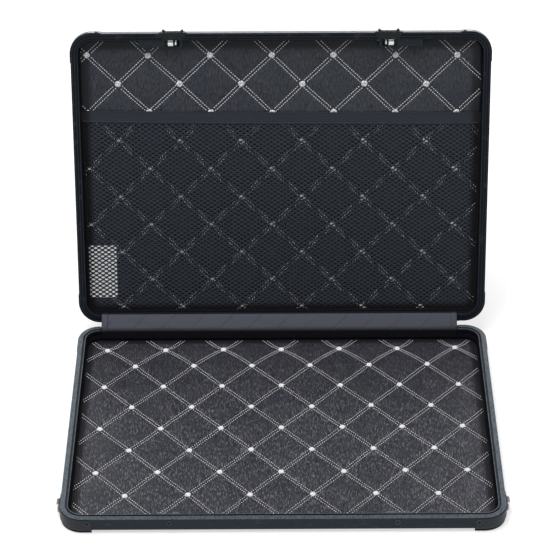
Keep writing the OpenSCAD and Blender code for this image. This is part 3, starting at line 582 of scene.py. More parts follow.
def cover_leather():
    """Smooth grey imitation leather with long slanting wrinkles, whose folds are painted darker as shade.
    """
    look = Look("cover_leather")
    wrinkles = look.cloud(16, 3, (0.35, 1.2, 1.2), turn=0.7)
    grain = look.cells(0.9, "SMOOTH_F1")
    slant = look.along("x") - 1.5 * look.along("z") + 5 * look.cloud(30)
    # Painted shade: darker lines along the folds
    folds = slant.ridges(27.0).above(0.985, 0.02) * look.cloud(20, 1).above(0.4, 0.3)
    lower = 1 - look.along("z").above(18, 18)
    tone = look.mix(wrinkles, (0.034, 0.038, 0.056), (0.049, 0.054, 0.078))
    shaded = look.mix(lower * 0.35, tone, (0.027, 0.029, 0.040))
    seams = (look.along("x") - COVER_X).size() - (COVER_W / 2 - HEM_W)
    seams = 1 - seams.size().above(0.5, 0.6)
    turned_in = 1 - look.along("y").above(MIDDLE_Y + CASE_D / 2 - RIM_W + 0.6, 3.2)
    shaded = look.mix(seams * 0.7, shaded, (0.010, 0.011, 0.015))
    shaded = look.mix(turned_in * 0.95, shaded, (0.004, 0.004, 0.006))
    return look.surface(
        Base_Color=look.mix(folds * 0.35, shaded, (0.016, 0.017, 0.023)),
        Roughness=0.5 + 0.12 * wrinkles,
        Normal=look.bump(0.8 * wrinkles + 0.12 * (1 - grain) - 0.3 * folds, 0.6, 0.7),
        Specular_IOR_Level=0.25,
    )


# The base's rim is painted far lighter than its walls, as lit from above; the lid's rim stays close to its
# walls' tone
BASE_ENAMEL = frame_enamel("base_frame_enamel", False, (0.018, 0.022, 0.031), (0.122, 0.147, 0.170))
LID_ENAMEL = frame_enamel("lid_frame_enamel", True, (0.024, 0.028, 0.036), (0.032, 0.039, 0.050))
BASE_PROTECTOR = protector_plastic("base_protector_plastic", False, (0.021, 0.027, 0.034))
LID_PROTECTOR = protector_plastic("lid_protector_plastic", True, (0.024, 0.030, 0.038))
BASE_LEATHER = quilted_leather(
    "base_quilt_leather", False, (0.027, 0.0265, 0.037), (0.042, 0.0415, 0.057), (0.165, 0.165, 0.19))
LID_LEATHER = quilted_leather(
    "lid_quilt_leather", True, (0.027, 0.030, 0.042), (0.041, 0.044, 0.059), (0.068, 0.073, 0.090))
THREAD = sewing_thread("white_thread", False, (0.85, 0.86, 0.88), (0.97, 0.97, 0.98))
BASE_KNOT_THREAD = sewing_thread("knot_thread", False, (0.74, 0.75, 0.77), (0.98, 0.98, 0.98), 1.1)
LID_THREAD = sewing_thread("lid_thread", True, (0.70, 0.73, 0.77), (0.95, 0.96, 0.98))
KNOT_THREAD = sewing_thread("lid_knot_thread", True, (0.40, 0.42, 0.45), (0.95, 0.96, 0.98), 1.2)
DARK_THREAD = sewing_thread("dark_thread", True, (0.012, 0.014, 0.018), (0.05, 0.055, 0.065))
FELT = black_felt()
NET = knitted_net()
ELASTIC = elastic_band()
CARD = card_paper()
BLACK_METAL = black_metal("black_metal", (0.010, 0.013, 0.014))
THUMB_METAL = black_metal("thumb_metal", (0.010, 0.013, 0.014), coat=0.6)
HOUSING_METAL = black_metal("housing_metal", (0.012, 0.016, 0.021))
RIVET_METAL = black_metal("rivet_metal", (0.036, 0.041, 0.050))
STRIKER_METAL = black_metal("striker_metal", (0.11, 0.115, 0.12))
HOOK = hook_steel()
STEEL = bright_steel("plated_steel", (0.62, 0.63, 0.65), 0.24)
RING_STEEL = bright_steel("ring_steel", (0.80, 0.81, 0.83), 0.30, 0.35)
LUG_STEEL = bright_steel("lug_steel", (0.20, 0.20, 0.21), 0.36, 0.35)
PANEL = shell_panel()
BOARD = backing_board()
COVER = cover_leather()

# A name with {side} or {end} stands for the nodes on both
CAD_FINISHES = (
    (BASE_ENAMEL, "base_frame"),
    (LID_ENAMEL, "lid_frame"),
    (PANEL, "base_panel lid_panel"),
    (BOARD, "base_board lid_board"),
    (BASE_PROTECTOR, "base_corner_{end}_{side}"),
    (LID_PROTECTOR, "lid_corner_{end}_{side}"),
    (RIVET_METAL, "base_corner_rivets lid_corner_rivets striker_rivets latch_plate_rivets"),
    (RIVET_METAL, "hinge_rivets_base hinge_rivets_lid"),
    (STRIKER_METAL, "striker_{side}"),
    (LUG_STEEL, "strap_lug_{side}"),
    (RING_STEEL, "strap_ring_{side}"),
    (BLACK_METAL, "latch_plate_{side} hinge_leaf_base hinge_leaf_lid"),
    (HOUSING_METAL, "latch_housing_{side} housing_screws"),
    (THUMB_METAL, "thumb_piece_{side}"),
    (HOOK, "hook_slide_{side}"),
    (STEEL, "lug_rivets return_spring_{side} hinge_pin"),
)
for finish, names in CAD_FINISHES:
    for end in ("front", "back"):
        for side in ("left", "right"):
            for node_name in names.format(end=end, side=side).split():
                node_materials = frame["nodes"][node_name].data.materials
                node_materials.clear()
                node_materials.append(finish)

# ---------------------------------------------------------------- making meshes


class Sheaf:
    """Points and faces that are gathered into one piece."""

    def __init__(self):
        self.points = []
        self.faces = []

    def add(self, points, faces):
        first = len(self.points)
        self.points.extend(points)
        self.faces.extend([tuple(first + k for k in face) for face in faces])

    def grid(self, rows, closed_rows=False, closed_columns=False):
        """Adds quads between rows of points that are all as long."""
        columns = len(rows[0])
        faces = []
        for j in range(len(rows) if closed_rows else len(rows) - 1):
            for i in range(columns if closed_columns else columns - 1):
                nj, ni = (j + 1) % len(rows), (i + 1) % columns
                faces.append((j * columns + i, j * columns + ni, nj * columns + ni, nj * columns + i))
        self.add([p for row in rows for p in row], faces)

    def loose_mesh(self, name):
        """The mesh of what is gathered, as it is."""
        mesh = bpy.data.meshes.new(name)
        mesh.from_pydata(self.points, [], self.faces)
        return mesh

    def to_edit(self):
        """What is gathered, ready to be cut and bent."""
        mesh = self.loose_mesh("gathered")
        bm = bmesh.new()
        bm.from_mesh(mesh)
        bpy.data.meshes.remove(mesh)
        return bm

    def mesh(self, name):
        """The mesh of what is gathered, with its faces turned outwards."""
        bm = self.to_edit()
        bmesh.ops.recalc_face_normals(bm, faces=bm.faces[:])
        return mesh_of(bm, name)

    def piece(self, name, place, body, finish):
        """Makes the piece, which rides on a body."""
        return settle(name, self.mesh(name), place, body, finish)


def settle(name, mesh, place, body, finish):
    """Puts a mesh in its place, with its finish, riding on a body, or on none if body is None."""
    mesh.transform(place)
    mesh.materials.clear()
    mesh.materials.append(finish)
    mesh.shade_smooth()
    mesh.update()
    obj = bpy.data.objects.new(name, mesh)
    bpy.context.scene.collection.objects.link(obj)
    if body:
        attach(obj, body)
    return obj


def mesh_of(bm, name):
    """Ends the editing, and keeps what came of it as a mesh."""
    mesh = bpy.data.meshes.new(name)
    bm.to_mesh(mesh)
    bm.free()
    return mesh


def waves(x, y, lengths, height, seed):
    """Soft irregular waves of that height, with their lengths along x and y."""
    return height * noise.noise((x / lengths[0], y / lengths[1], seed))


def inside_by(x, y, half_w, half_d, r):
    """How far a point lies inside a rectangle with round corners."""
    over_x = abs(x) - (half_w - r)
    over_y = abs(y) - (half_d - r)
    out = math.hypot(max(over_x, 0), max(over_y, 0)) + min(max(over_x, over_y), 0)
    return r - out


def round_corner(half_w, half_d, r, sign_x, sign_y, degrees):
    """A point on a round corner of a rectangle."""
    angle = math.radians(degrees)
    return sign_x * (half_w - r) + r * math.cos(angle), sign_y * (half_d - r) + r * math.sin(angle)


def outline(step, turns):
    """Points round the frames' outer face, each with the direction inwards."""
    points = []
    straight_x, straight_y = CASE_W / 2 - CORNER_R, CASE_D / 2 - CORNER_R
    corners = [(straight_x, -straight_y, -90), (straight_x, straight_y, 0),
               (-straight_x, straight_y, 90), (-straight_x, -straight_y, 180)]
    for k, (x, y, start) in enumerate(corners):
        for turn in range(turns + 1):
            angle = math.radians(start + 90 * turn / turns)
            out = (math.cos(angle), math.sin(angle))
            points.append((x + CORNER_R * out[0], y + CORNER_R * out[1], -out[0], -out[1]))
        next_x, next_y, _ = corners[(k + 1) % 4]
        length = math.hypot(next_x - x, next_y - y)
        count = max(2, round(length / step))
        for part in range(1, count):
            share = part / count
            points.append((x + (next_x - x) * share + CORNER_R * out[0],
                           y + (next_y - y) * share + CORNER_R * out[1], -out[0], -out[1]))
    return points


def cut_off(bm, at, out):
    """Cuts away what lies beyond a plane, given by a point on it and the direction outwards."""
    whole = bm.verts[:] + bm.edges[:] + bm.faces[:]
    bmesh.ops.bisect_plane(bm, geom=whole, dist=1e-5, plane_co=at, plane_no=out, clear_outer=True)


BOX_FACES = [(0, 2, 3, 1), (4, 5, 7, 6), (0, 1, 5, 4), (2, 6, 7, 3), (0, 4, 6, 2), (1, 3, 7, 5)]


def without_boxes(mesh, boxes):
    """A closed mesh less boxes that are given by their lowest and highest corners."""
    sheaf = Sheaf()
    for low, high in boxes:
        corners = [(x, y, z) for z in (low[2], high[2])
                   for y in (low[1], high[1]) for x in (low[0], high[0])]
        sheaf.add(corners, BOX_FACES)
    whole = bpy.data.objects.new("whole", mesh)
    cutter = bpy.data.objects.new("cutter", sheaf.mesh("cutter"))
    for obj in (whole, cutter):
        bpy.context.scene.collection.objects.link(obj)
    modifier = whole.modifiers.new("cut", "BOOLEAN")
    modifier.operation = "DIFFERENCE"
    modifier.object = cutter
    modifier.solver = "MANIFOLD"
    bpy.context.view_layer.update()
    cut = bpy.data.meshes.new_from_object(whole.evaluated_get(bpy.context.evaluated_depsgraph_get()))
    for obj in (whole, cutter):
        bpy.data.objects.remove(obj)
    return cut


# ---------------------------------------------------------------- quilting


def in_quilt(x, y):
    """How far a point lies inside the quilting's border."""
    return inside_by(x, y, QUILT_HALF_W, QUILT_HALF_D, QUILT_R)


def trim_to_quilt(bm):
    """Cuts a flat mesh to the quilting's border, a rectangle with round corners."""
    cuts = [(QUILT_HALF_W, 0, 0), (0, QUILT_HALF_D, 90), (-QUILT_HALF_W, 0, 180), (0, -QUILT_HALF_D, 270)]
    for sign_x, sign_y, start in ((1, 1, 0), (1, -1, 270), (-1, -1, 180), (-1, 1, 90)):
        for step in range(1, QUILT_ARC):
            degrees = start + 90 * step / QUILT_ARC
            x, y = round_corner(QUILT_HALF_W, QUILT_HALF_D, QUILT_R, sign_x, sign_y, degrees)
            cuts.append((x, y, degrees))
    for x, y, degrees in cuts:
        angle = math.radians(degrees)
        cut_off(bm, (x, y, 0), (math.cos(angle), math.sin(angle), 0))


class Quilt:
    """A quilted face. Stitch lines run where u or v is whole, and a knot lies where both are."""

    def __init__(self, diamond, first_knot, turn, skew, pull, stitch_l, thread_r, knot_r, seed):
        self.w, self.d = diamond
        self.first = first_knot
        self.turn = math.radians(turn)
        self.skew = skew
        self.pull = pull
        self.stitch_l = stitch_l
        self.thread_r = thread_r
        self.knot_r = knot_r
        self.seed = seed
        self.line_gap = 1 / math.hypot(1 / self.w, 1 / self.d)

    def drawn(self, x, y):
        """Where the sewing draws a point of the even pattern: askew, off a little, away from the hinge."""
        past = min(PULL_MOST, max(0, (y - QUILT_HALF_D + PULL_FROM) / PULL_OVER))
        off_x = waves(x, y, (46, 46), WANDER, self.seed)
        off_y = waves(x, y, (52, 46), WANDER, self.seed + 5)
        return x + off_x, y + self.skew * x - self.pull * past * past + off_y

    def point(self, u, v):
        x, y = self.w * (u + v) / 2, self.d * (u - v) / 2
        c, s = math.cos(self.turn), math.sin(self.turn)
        return self.drawn(self.first[0] + c * x - s * y, self.first[1] + s * x + c * y)

    def lattice(self, x, y):
        """The u and v of a point, found in a few steps against the sewing's wander."""
        even_x, even_y = x, y
        for _ in range(4):
            drawn_x, drawn_y = self.drawn(even_x, even_y)
            even_x, even_y = even_x + x - drawn_x, even_y + y - drawn_y
        x, y = even_x, even_y
        c, s = math.cos(self.turn), math.sin(self.turn)
        x, y = x - self.first[0], y - self.first[1]
        x, y = c * x + s * y, c * y - s * x
        return x / self.w + y / self.d, x / self.w - y / self.d

    def puff(self, part):
        """How much the filling stands up at that part of the way from one line to the next."""
        away = abs(part - round(part)) * self.line_gap
        if away < ROW_OUT:
            return BETWEEN_ROWS * (1 - (away / ROW_OUT) ** 2)
        share = (away - ROW_OUT) / (self.line_gap / 2 - ROW_OUT)
        return 1 - (1 - share) ** PUFF_POWER

    def height(self, x, y):
        u, v = self.lattice(x, y)
        full = self.puff(u) * self.puff(v)
        full *= min(1, BORDER_FULL + (1 - BORDER_FULL) * max(0, in_quilt(x, y)) / BORDER_W)
        slack = waves(x, y, (17, 17), 0.07, self.w) * min(1, 4 * full)
        return SEAM_T + (CROWN_T - SEAM_T) * full + slack

    def steps(self):
        """Parts of a diamond that follow its rows of stitches closely and its middle loosely."""
        row = ROW_OUT / self.line_gap
        half = [0, 0.55 * row, row, 1.5 * row, 2.3 * row, 3.6 * row, 0.16, 0.23, 0.32, 0.41]
        return half + [0.5] + [1 - t for t in reversed(half[1:])]

    def range_of_lines(self):
        values = []
        for x in (-QUILT_HALF_W, QUILT_HALF_W):
            for y in (-QUILT_HALF_D, QUILT_HALF_D):
                values += self.lattice(x, y)
        return range(math.floor(min(values)) - 1, math.ceil(max(values)) + 2)

    def pad(self, body, place, finish):
        """The leather, puffed between its lines."""
        lines = [k + t for k in self.range_of_lines() for t in self.steps()]
        points, index, faces = [], {}, []
        for j, v in enumerate(lines):
            for i, u in enumerate(lines):
                x, y = self.point(u, v)
                if in_quilt(x, y) > -self.line_gap / 3:
                    index[i, j] = len(points)
                    points.append((x, y, 0))
        for (i, j) in index:
            ring = [index.get(key) for key in ((i, j), (i, j + 1), (i + 1, j + 1), (i + 1, j))]
            if None not in ring:
                faces.append(ring)
        sheaf = Sheaf()
        sheaf.add(points, faces)
        bm = sheaf.to_edit()
        trim_to_quilt(bm)
        for vert in bm.verts:
            vert.co.z = self.height(vert.co.x, vert.co.y)
        rim = [edge for edge in bm.edges if edge.is_boundary]
        lower = bmesh.ops.extrude_edge_only(bm, edges=rim)["geom"]
        for vert in lower:
            if isinstance(vert, bmesh.types.BMVert):
                vert.co.z = PAD_LOW
        bmesh.ops.recalc_face_normals(bm, faces=bm.faces[:])
        name = f"{body}_quilting"
        return settle(name, mesh_of(bm, name), place, body, finish)

    def stitches(self, body, place, finish):
        """Two rows of stitches along every line."""
        sheaf = Sheaf()
        along = math.hypot(self.w, self.d) / 2
        pitch = STITCH_PITCH / along
        offset = ROW_OUT / self.line_gap
        reach = self.range_of_lines()
        count = round((reach[-1] - reach[0]) / pitch)
        for family in (0, 1):
            for line in reach:
                for side in (-offset, offset):
                    for k in range(count):
                        part = reach[0] + (k + 0.5 + STAGGER * side / offset) * pitch
                        near_knot = abs(part - round(part)) * along
                        if near_knot < self.knot_r + KNOT_FREE * self.stitch_l:
                            continue
                        at = (line + side, part) if family == 0 else (part, line + side)
                        ahead = (at[0], at[1] + pitch) if family == 0 else (at[0] + pitch, at[1])
                        x, y = self.point(*at)
                        if in_quilt(x, y) < STITCH_MARGIN:
                            continue
                        to_x, to_y = self.point(*ahead)
                        middle = (x, y, self.height(x, y))
                        add_stitch(sheaf, middle, (to_x - x, to_y - y), self.stitch_l, self.thread_r)
        sheaf.piece(f"{body}_stitches", place, body, finish)

    def knots(self, body, place, finish):
        """A round of satin stitches at each crossing."""
        sheaf = Sheaf()
        reach = self.range_of_lines()
        for v in reach:
            for u in reach:
                x, y = self.point(u, v)
                if in_quilt(x, y) > self.knot_r + KNOT_MARGIN:
                    add_knot(sheaf, x, y, self.knot_r, KNOT_TURN * (u * 3 + v))
        sheaf.piece(f"{body}_knots", place, body, finish)


def add_stitch(sheaf, middle, direction, length, r):
    """A stitch: a short length of thread whose ends go into the leather."""
    long = math.hypot(*direction)
    ax, ay = direction[0] / long, direction[1] / long
    x, y, z = middle
    half, sunk, raised = length / 2, 0.15, 0.12
    points = [(x - ax * half, y - ay * half, z - sunk)]
    for along in (-0.55 * half, 0.55 * half):
        for k in range(6):
            angle = math.tau * k / 6
            across, up = r * math.cos(angle), 0.8 * r * math.sin(angle)
            points.append((x + ax * along - ay * across, y + ay * along + ax * across, z + up + raised))
    points.append((x + ax * half, y + ay * half, z - sunk))
    faces = []
    for k in range(6):
        n = (k + 1) % 6
        faces += [(0, 1 + n, 1 + k), (1 + k, 1 + n, 7 + n, 7 + k), (7 + k, 7 + n, 13)]
    sheaf.add(points, faces)


def add_knot(sheaf, x, y, knot_r, turn):
    """A domed knot whose threads run out from a small eye."""
    threads, eye = 12, 0.35
    rings = [(0.14, 0.55), (0.34, 1.15), (0.60, 1.30), (0.85, 0.95), (1.0, 0.06)]
    sides = 3 * threads
    points = [(x, y, SEAM_T + eye)]
    for share, height in rings:
        for k in range(sides):
            angle = turn + math.tau * k / sides
            groove = 1 if k % 3 == 0 else 0.93
            swell = 1 + 0.06 * math.cos(4 * (angle - turn) + math.pi / 4)
            r = knot_r * share * groove * swell
            lift = height * (1 if k % 3 == 0 else 0.78)
            points.append((x + r * math.cos(angle), y + r * math.sin(angle), SEAM_T + lift))
    faces = []
    for k in range(sides):
        n = (k + 1) % sides
        faces.append((0, 1 + k, 1 + n))
        for ring in range(len(rings) - 1):
            a = 1 + ring * sides
            faces.append((a + k, a + sides + k, a + sides + n, a + n))
    sheaf.add(points, faces)


BASE_QUILT = Quilt(
    diamond=(54.1, 62.2), first_knot=(-163.1, 123.4), turn=-0.12, skew=0.0095, pull=6.5,
    stitch_l=1.25, thread_r=0.38, knot_r=2.75, seed=4.0)
LID_QUILT = Quilt(
    diamond=(56.05, 54.4), first_knot=(-176.2, up_the_lid(260.4)), turn=-0.23, skew=0, pull=0,
    stitch_l=2.0, thread_r=0.31, knot_r=3.1, seed=8.0)

for body_name, quilt, face, leather, thread, knot_thread in (
    ("base", BASE_QUILT, BASE_FACE, BASE_LEATHER, THREAD, BASE_KNOT_THREAD),
    ("lid", LID_QUILT, LID_FACE, LID_LEATHER, LID_THREAD, KNOT_THREAD),
):
    pad = quilt.pad(body_name, face, leather)
    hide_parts(f"{body_name}_liner")
    quilt.stitches(body_name, face, thread)
    quilt.knots(body_name, face, knot_thread)

# ---------------------------------------------------------------- linings round the walls


def wall_lining(body, place, low, high, boxes):
    """A felt strip along the inside of the frame's walls, with a rolled edge towards the rim."""
    outer, inner = RIM_W + WALL_GAP, RIM_W + LINING_T - 0.02
    towards_rim = 1 if high > low else -1
    section = [(outer, low), (inner, low)]
    for share in (0.25, 0.5, 0.75):
        section.append((inner, low + (high - low) * share))
    roll = (inner - outer) / 2
    fold = high - towards_rim * LINING_FOLD
    crease = CREASE_HALF_W * towards_rim
    section += [(inner, fold - crease), (inner - CREASE_IN, fold), (inner, fold + crease)]
    for k in range(7):
        angle = math.pi * k / 6
        section.append((outer + roll + roll * math.cos(angle),
                        high + towards_rim * roll * (math.sin(angle) - 1)))
    rows = []
    for x, y, in_x, in_y in outline(step=6.0, turns=8):
        wobble = abs(waves(x, y, (9, 9), 0.05, low))
        rows.append([(x + in_x * (d - wobble), y + in_y * (d - wobble), z) for d, z in section])
    sheaf = Sheaf()
    sheaf.grid(rows, closed_rows=True, closed_columns=True)
    mesh = without_boxes(sheaf.mesh("uncut_felt"), boxes)
    obj = settle(f"{body}_felt", mesh, place, body, FELT)
    # The strip is cut wider than it shows, since its edge is folded under
    strip_l = 2 * (CASE_W + CASE_D - 4 * RIM_W) - 8 * CORNER_R + math.tau * (CORNER_R - RIM_W)
    strip_l * MM
    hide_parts(f"{body}_wall_lining")
    return obj


def rooms(stem, place, below, above):
    """Boxes round the left and right CAD node of a kind, in the shut case's millimetres."""
    boxes = []
    back = place.inverted()
    for side in ("left", "right"):
        points = [back @ v.co for v in frame["nodes"][f"{stem}_{side}"].data.vertices]
        low = [min(p[k] for p in points) - ROOM for k in range(3)]
        high = [max(p[k] for p in points) + ROOM for k in range(3)]
        boxes.append(((low[0], low[1], low[2] - below), (high[0], high[1], high[2] + above)))
    return boxes


base_lining = wall_lining("base", BASE, BASE_QUILT_Z + BOARD_GAP, BASE_RIM_Z - BASE_LINING_SHORT,
                          rooms("striker", BASE, below=0, above=2))
lid_lining = wall_lining("lid", LID, LID_QUILT_Z - BOARD_GAP, LID_RIM_Z + LID_LINING_SHORT,
                         rooms("latch_housing", LID, below=2, above=0))

# ---------------------------------------------------------------- mesh pocket

NET_HALF_W = CASE_W / 2 - RIM_W - LINING_T
NET_HALF_D = CASE_D / 2 - RIM_W - LINING_T
NET_TOP = up_the_lid(POCKET_H - BAND_W + NET_OVERLAP)
NET_BELLY_W = 2 * NET_HALF_W + 8
NET_Z = 2.15
MOUTH_SLANT = 0.0088


def mouth_rise(x):
    """The pocket's mouth is sewn a little higher at its left end."""
    return -MOUTH_SLANT * x


def net_sag(x, y):
    """The net hangs a little proud of the quilting, more at its middle and in soft waves."""
    share = (y + NET_HALF_D) / (NET_TOP + NET_HALF_D)
    belly = NET_BELLY * math.sin(math.pi * min(1, max(0, share))) * math.cos(math.pi * x / NET_BELLY_W)
    return NET_Z + belly + waves(x, y, (28, 22), 0.1, 3.0)


def make_net():
    """A knitted net: a strand round each lens-shaped hole, in rows that are half a hole over."""
    pitch_x, pitch_y = NET_PITCH
    hole_x, hole_y = NET_HOLE
    rim = [(1, 0), (0.5, 0.5), (0, 1), (-0.5, 0.5), (-1, 0), (-0.5, -0.5), (0, -1), (0.5, -0.5)]
    hole = [(1, 0), (0.62, 0.74), (0, 1), (-0.62, 0.74), (-1, 0), (-0.62, -0.74), (0, -1), (0.62, -0.74)]
    ring = [(k, (k + 1) % 8, 8 + (k + 1) % 8, 8 + k) for k in range(8)]
    sheaf = Sheaf()
    rows = math.ceil((NET_TOP + mouth_rise(-NET_HALF_W) + NET_HALF_D) / (pitch_y / 2)) + 1
    columns = math.ceil(2 * NET_HALF_W / pitch_x) + 2
    for row in range(rows):
        y = -NET_HALF_D + row * pitch_y / 2
        for column in range(columns):
            x = -NET_HALF_W + (column - 0.5 * (row % 2)) * pitch_x
            if inside_by(x, y, NET_HALF_W, NET_HALF_D, CORNER_R - RIM_W - LINING_T) < -NET_SPARE:
                continue
            stretch = 1 + waves(x, y, (20, 20), 0.1, 7.0)
            points = [(x + px * pitch_x / 2, y + py * pitch_y / 2, NET_KNOT_T) for px, py in rim]
            points += [(x + px * hole_x * stretch, y + py * hole_y / stretch, 0) for px, py in hole]
            sheaf.add(points, ring)
    bm = sheaf.to_edit()
    bmesh.ops.remove_doubles(bm, verts=bm.verts[:], dist=WELD)
    for co, out in (((NET_HALF_W, 0, 0), (1, 0, 0)), ((-NET_HALF_W, 0, 0), (-1, 0, 0)),
                    ((0, NET_TOP, 0), (MOUTH_SLANT, 1, 0)), ((0, -NET_HALF_D, 0), (0, -1, 0))):
        cut_off(bm, co, out)
    for vert in bm.verts:
        vert.co.z += net_sag(vert.co.x, vert.co.y)
    share_solid = sum(face.calc_area() for face in bm.faces) / (2 * NET_HALF_W * (NET_TOP + NET_HALF_D))
    net = settle("pocket_net", mesh_of(bm, "pocket_net_mesh"), LID_FACE, "lid", NET)
    return net, share_solid


def make_binding():
    """The tape that holds the net to the wall lining, down one side, along the hinge and up the other."""
    inset = RIM_W + LINING_T
    tape_w, tape_t = 2.6, 0.55
    section = []
    for k in range(10):
        angle = math.tau * k / 10
        section.append((tape_w / 2 + tape_w / 2 * math.cos(angle), tape_t / 2 * math.sin(angle)))
    rows = []
    points = outline(step=5.0, turns=10)
    # The face's y runs away from the hinge, so the outline's back row lies at the lowest y
    start = next(k for k in range(len(points)) if points[k][0] > 0 and -points[k][1] < NET_TOP + 2)
    for k in range(len(points)):
        x, y, in_x, in_y = points[(start + k) % len(points)]
        if -y > NET_TOP + 2:
            continue
        rows.append([(x + in_x * (inset + d), -(y + in_y * (inset + d)),
                      net_sag(x, -y) - 0.05 + z) for d, z in section])
    sheaf = Sheaf()
    sheaf.grid(rows, closed_columns=True)
    return sheaf.piece("pocket_binding", LID_FACE, "lid", NET)


def band_sag(x):
    """How much lower or higher the band lies there than its even place."""
    return mouth_rise(x) - BAND_SAG * math.cos(math.pi * x / (2 * NET_HALF_W)) ** 0.8


def make_band():
    """The elastic band: cords along it, a rolled upper edge, and a slight sag between the walls."""
    top, bottom = up_the_lid(POCKET_H), up_the_lid(POCKET_H - BAND_W)
    front, back = 2.72, 2.18
    columns = 180
    cords = 9
    roll_r = 0.42
    rows = []
    for column in range(columns + 1):
        x = NET_HALF_W * (2 * column / columns - 1)
        sag = band_sag(x)
        pucker = waves(x, 0, (4.5, 1), 0.06, 11.0) + waves(x, 0, (17, 1), 0.05, 5.0)
        section = [(bottom + sag, back), (bottom + sag - 0.1, (front + back) / 2)]
        for k in range(4 * cords + 1):
            share = k / (4 * cords)
            groove = 0.07 * abs(math.sin(math.pi * share * cords))
            y = bottom + 0.3 + (top - bottom - 1.2) * share + sag
            section.append((y, front - 0.1 + groove + pucker))
        for angle in (-60, -20, 20, 60, 100, 140):
            a = math.radians(angle)
            section.append((top + sag - 0.5 + roll_r * math.sin(a),
                            front - 0.26 + roll_r * math.cos(a) + pucker))
        section.append((top + sag - 0.2, back))
        rows.append([(x, y, z) for y, z in section])
    sheaf = Sheaf()
    sheaf.grid(rows, closed_columns=True)
    band = sheaf.piece("elastic_top_band", LID_FACE, "lid", ELASTIC)
    seam = Sheaf()
    pitch = 2.2
    for k in range(round(2 * NET_HALF_W / pitch) - 2):
        x = -NET_HALF_W + (k + 1.5) * pitch
        sag = band_sag(x)
        add_stitch(seam, (x, bottom + 1.5 + sag, front), (1, 0), length=1.6, r=0.2)
    stitched = seam.piece("band_stitches", LID_FACE, "lid", DARK_THREAD)
    return band, stitched


def make_card():
    """A flat card with round corners and soft edges."""
    middle_x, middle_y = CARD_LEFT + CARD_W / 2, up_the_lid(CARD_LOW) + CARD_H / 2
    sheaf = Sheaf()
    # How far each ring lies inside the edge, and its height as a share of the thickness
    rings = [(0.9, 1), (0.6, 1), (0.12, 1), (0, 0.8), (0, 0.2), (0.12, 0), (0.9, 0)]
    rows = []
    for shrink, share in rings:
        row = []
        half_w, half_h = CARD_W / 2 - shrink, CARD_H / 2 - shrink
        for sign_x, sign_y, start in ((1, 1, 0), (-1, 1, 90), (-1, -1, 180), (1, -1, 270)):
            for turn in range(6):
                x, y = round_corner(half_w, half_h, CARD_R - shrink, sign_x, sign_y, start + 18 * turn)
                row.append((middle_x + x, middle_y + y, CARD_Z + share * CARD_T))
        rows.append(row)
    sheaf.grid(rows, closed_columns=True)
    columns = len(rows[0])
    sheaf.faces.append(tuple(reversed(range(columns))))
    sheaf.faces.append(tuple(range((len(rows) - 1) * columns, len(rows) * columns)))
    sheaf.faces = [tuple(reversed(face)) for face in sheaf.faces]
    return sheaf.piece("bare_card", LID_FACE, "lid", CARD)


net, net_share = make_net()
binding = make_binding()
band, band_stitches = make_band()
card = make_card()
net_w, net_l = 2 * NET_HALF_W * MM, (NET_TOP + NET_HALF_D) * MM
net_w * net_l * net_share
2 * NET_HALF_W * MM
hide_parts("mesh_pocket")
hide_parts("pocket_band")
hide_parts("pocket_card")

# ---------------------------------------------------------------- the strip over the hinge


def turned(y, z, turn):
    """Where a turn about the hinge takes a point, as y and z."""
    c, s = math.cos(turn), math.sin(turn)
    return PIN_Y + (y - PIN_Y) * c - (z - PIN_Z) * s, PIN_Z + (y - PIN_Y) * s + (z - PIN_Z) * c


def rounded_route(corners, step, r):
    """Points along straight runs that turn at each corner on a short curve."""
    route = []
    for k, corner in enumerate(corners):
        corner = Vector(corner)
        if k in (0, len(corners) - 1):
            route.append(corner)
            continue
        before = (Vector(corners[k - 1]) - corner).normalized() * r
        after = (Vector(corners[k + 1]) - corner).normalized() * r
        for t in (0, 0.25, 0.5, 0.75, 1):
            curve = (corner + before) * (1 - t) ** 2 + corner * 2 * t * (1 - t)
            route.append(curve + (corner + after) * t * t)
    spaced = [route[0]]
    for a, b in zip(route, route[1:]):
        count = max(1, math.ceil((b - a).length / step))
        spaced += [a.lerp(b, n / count) for n in range(1, count + 1)]
    return spaced


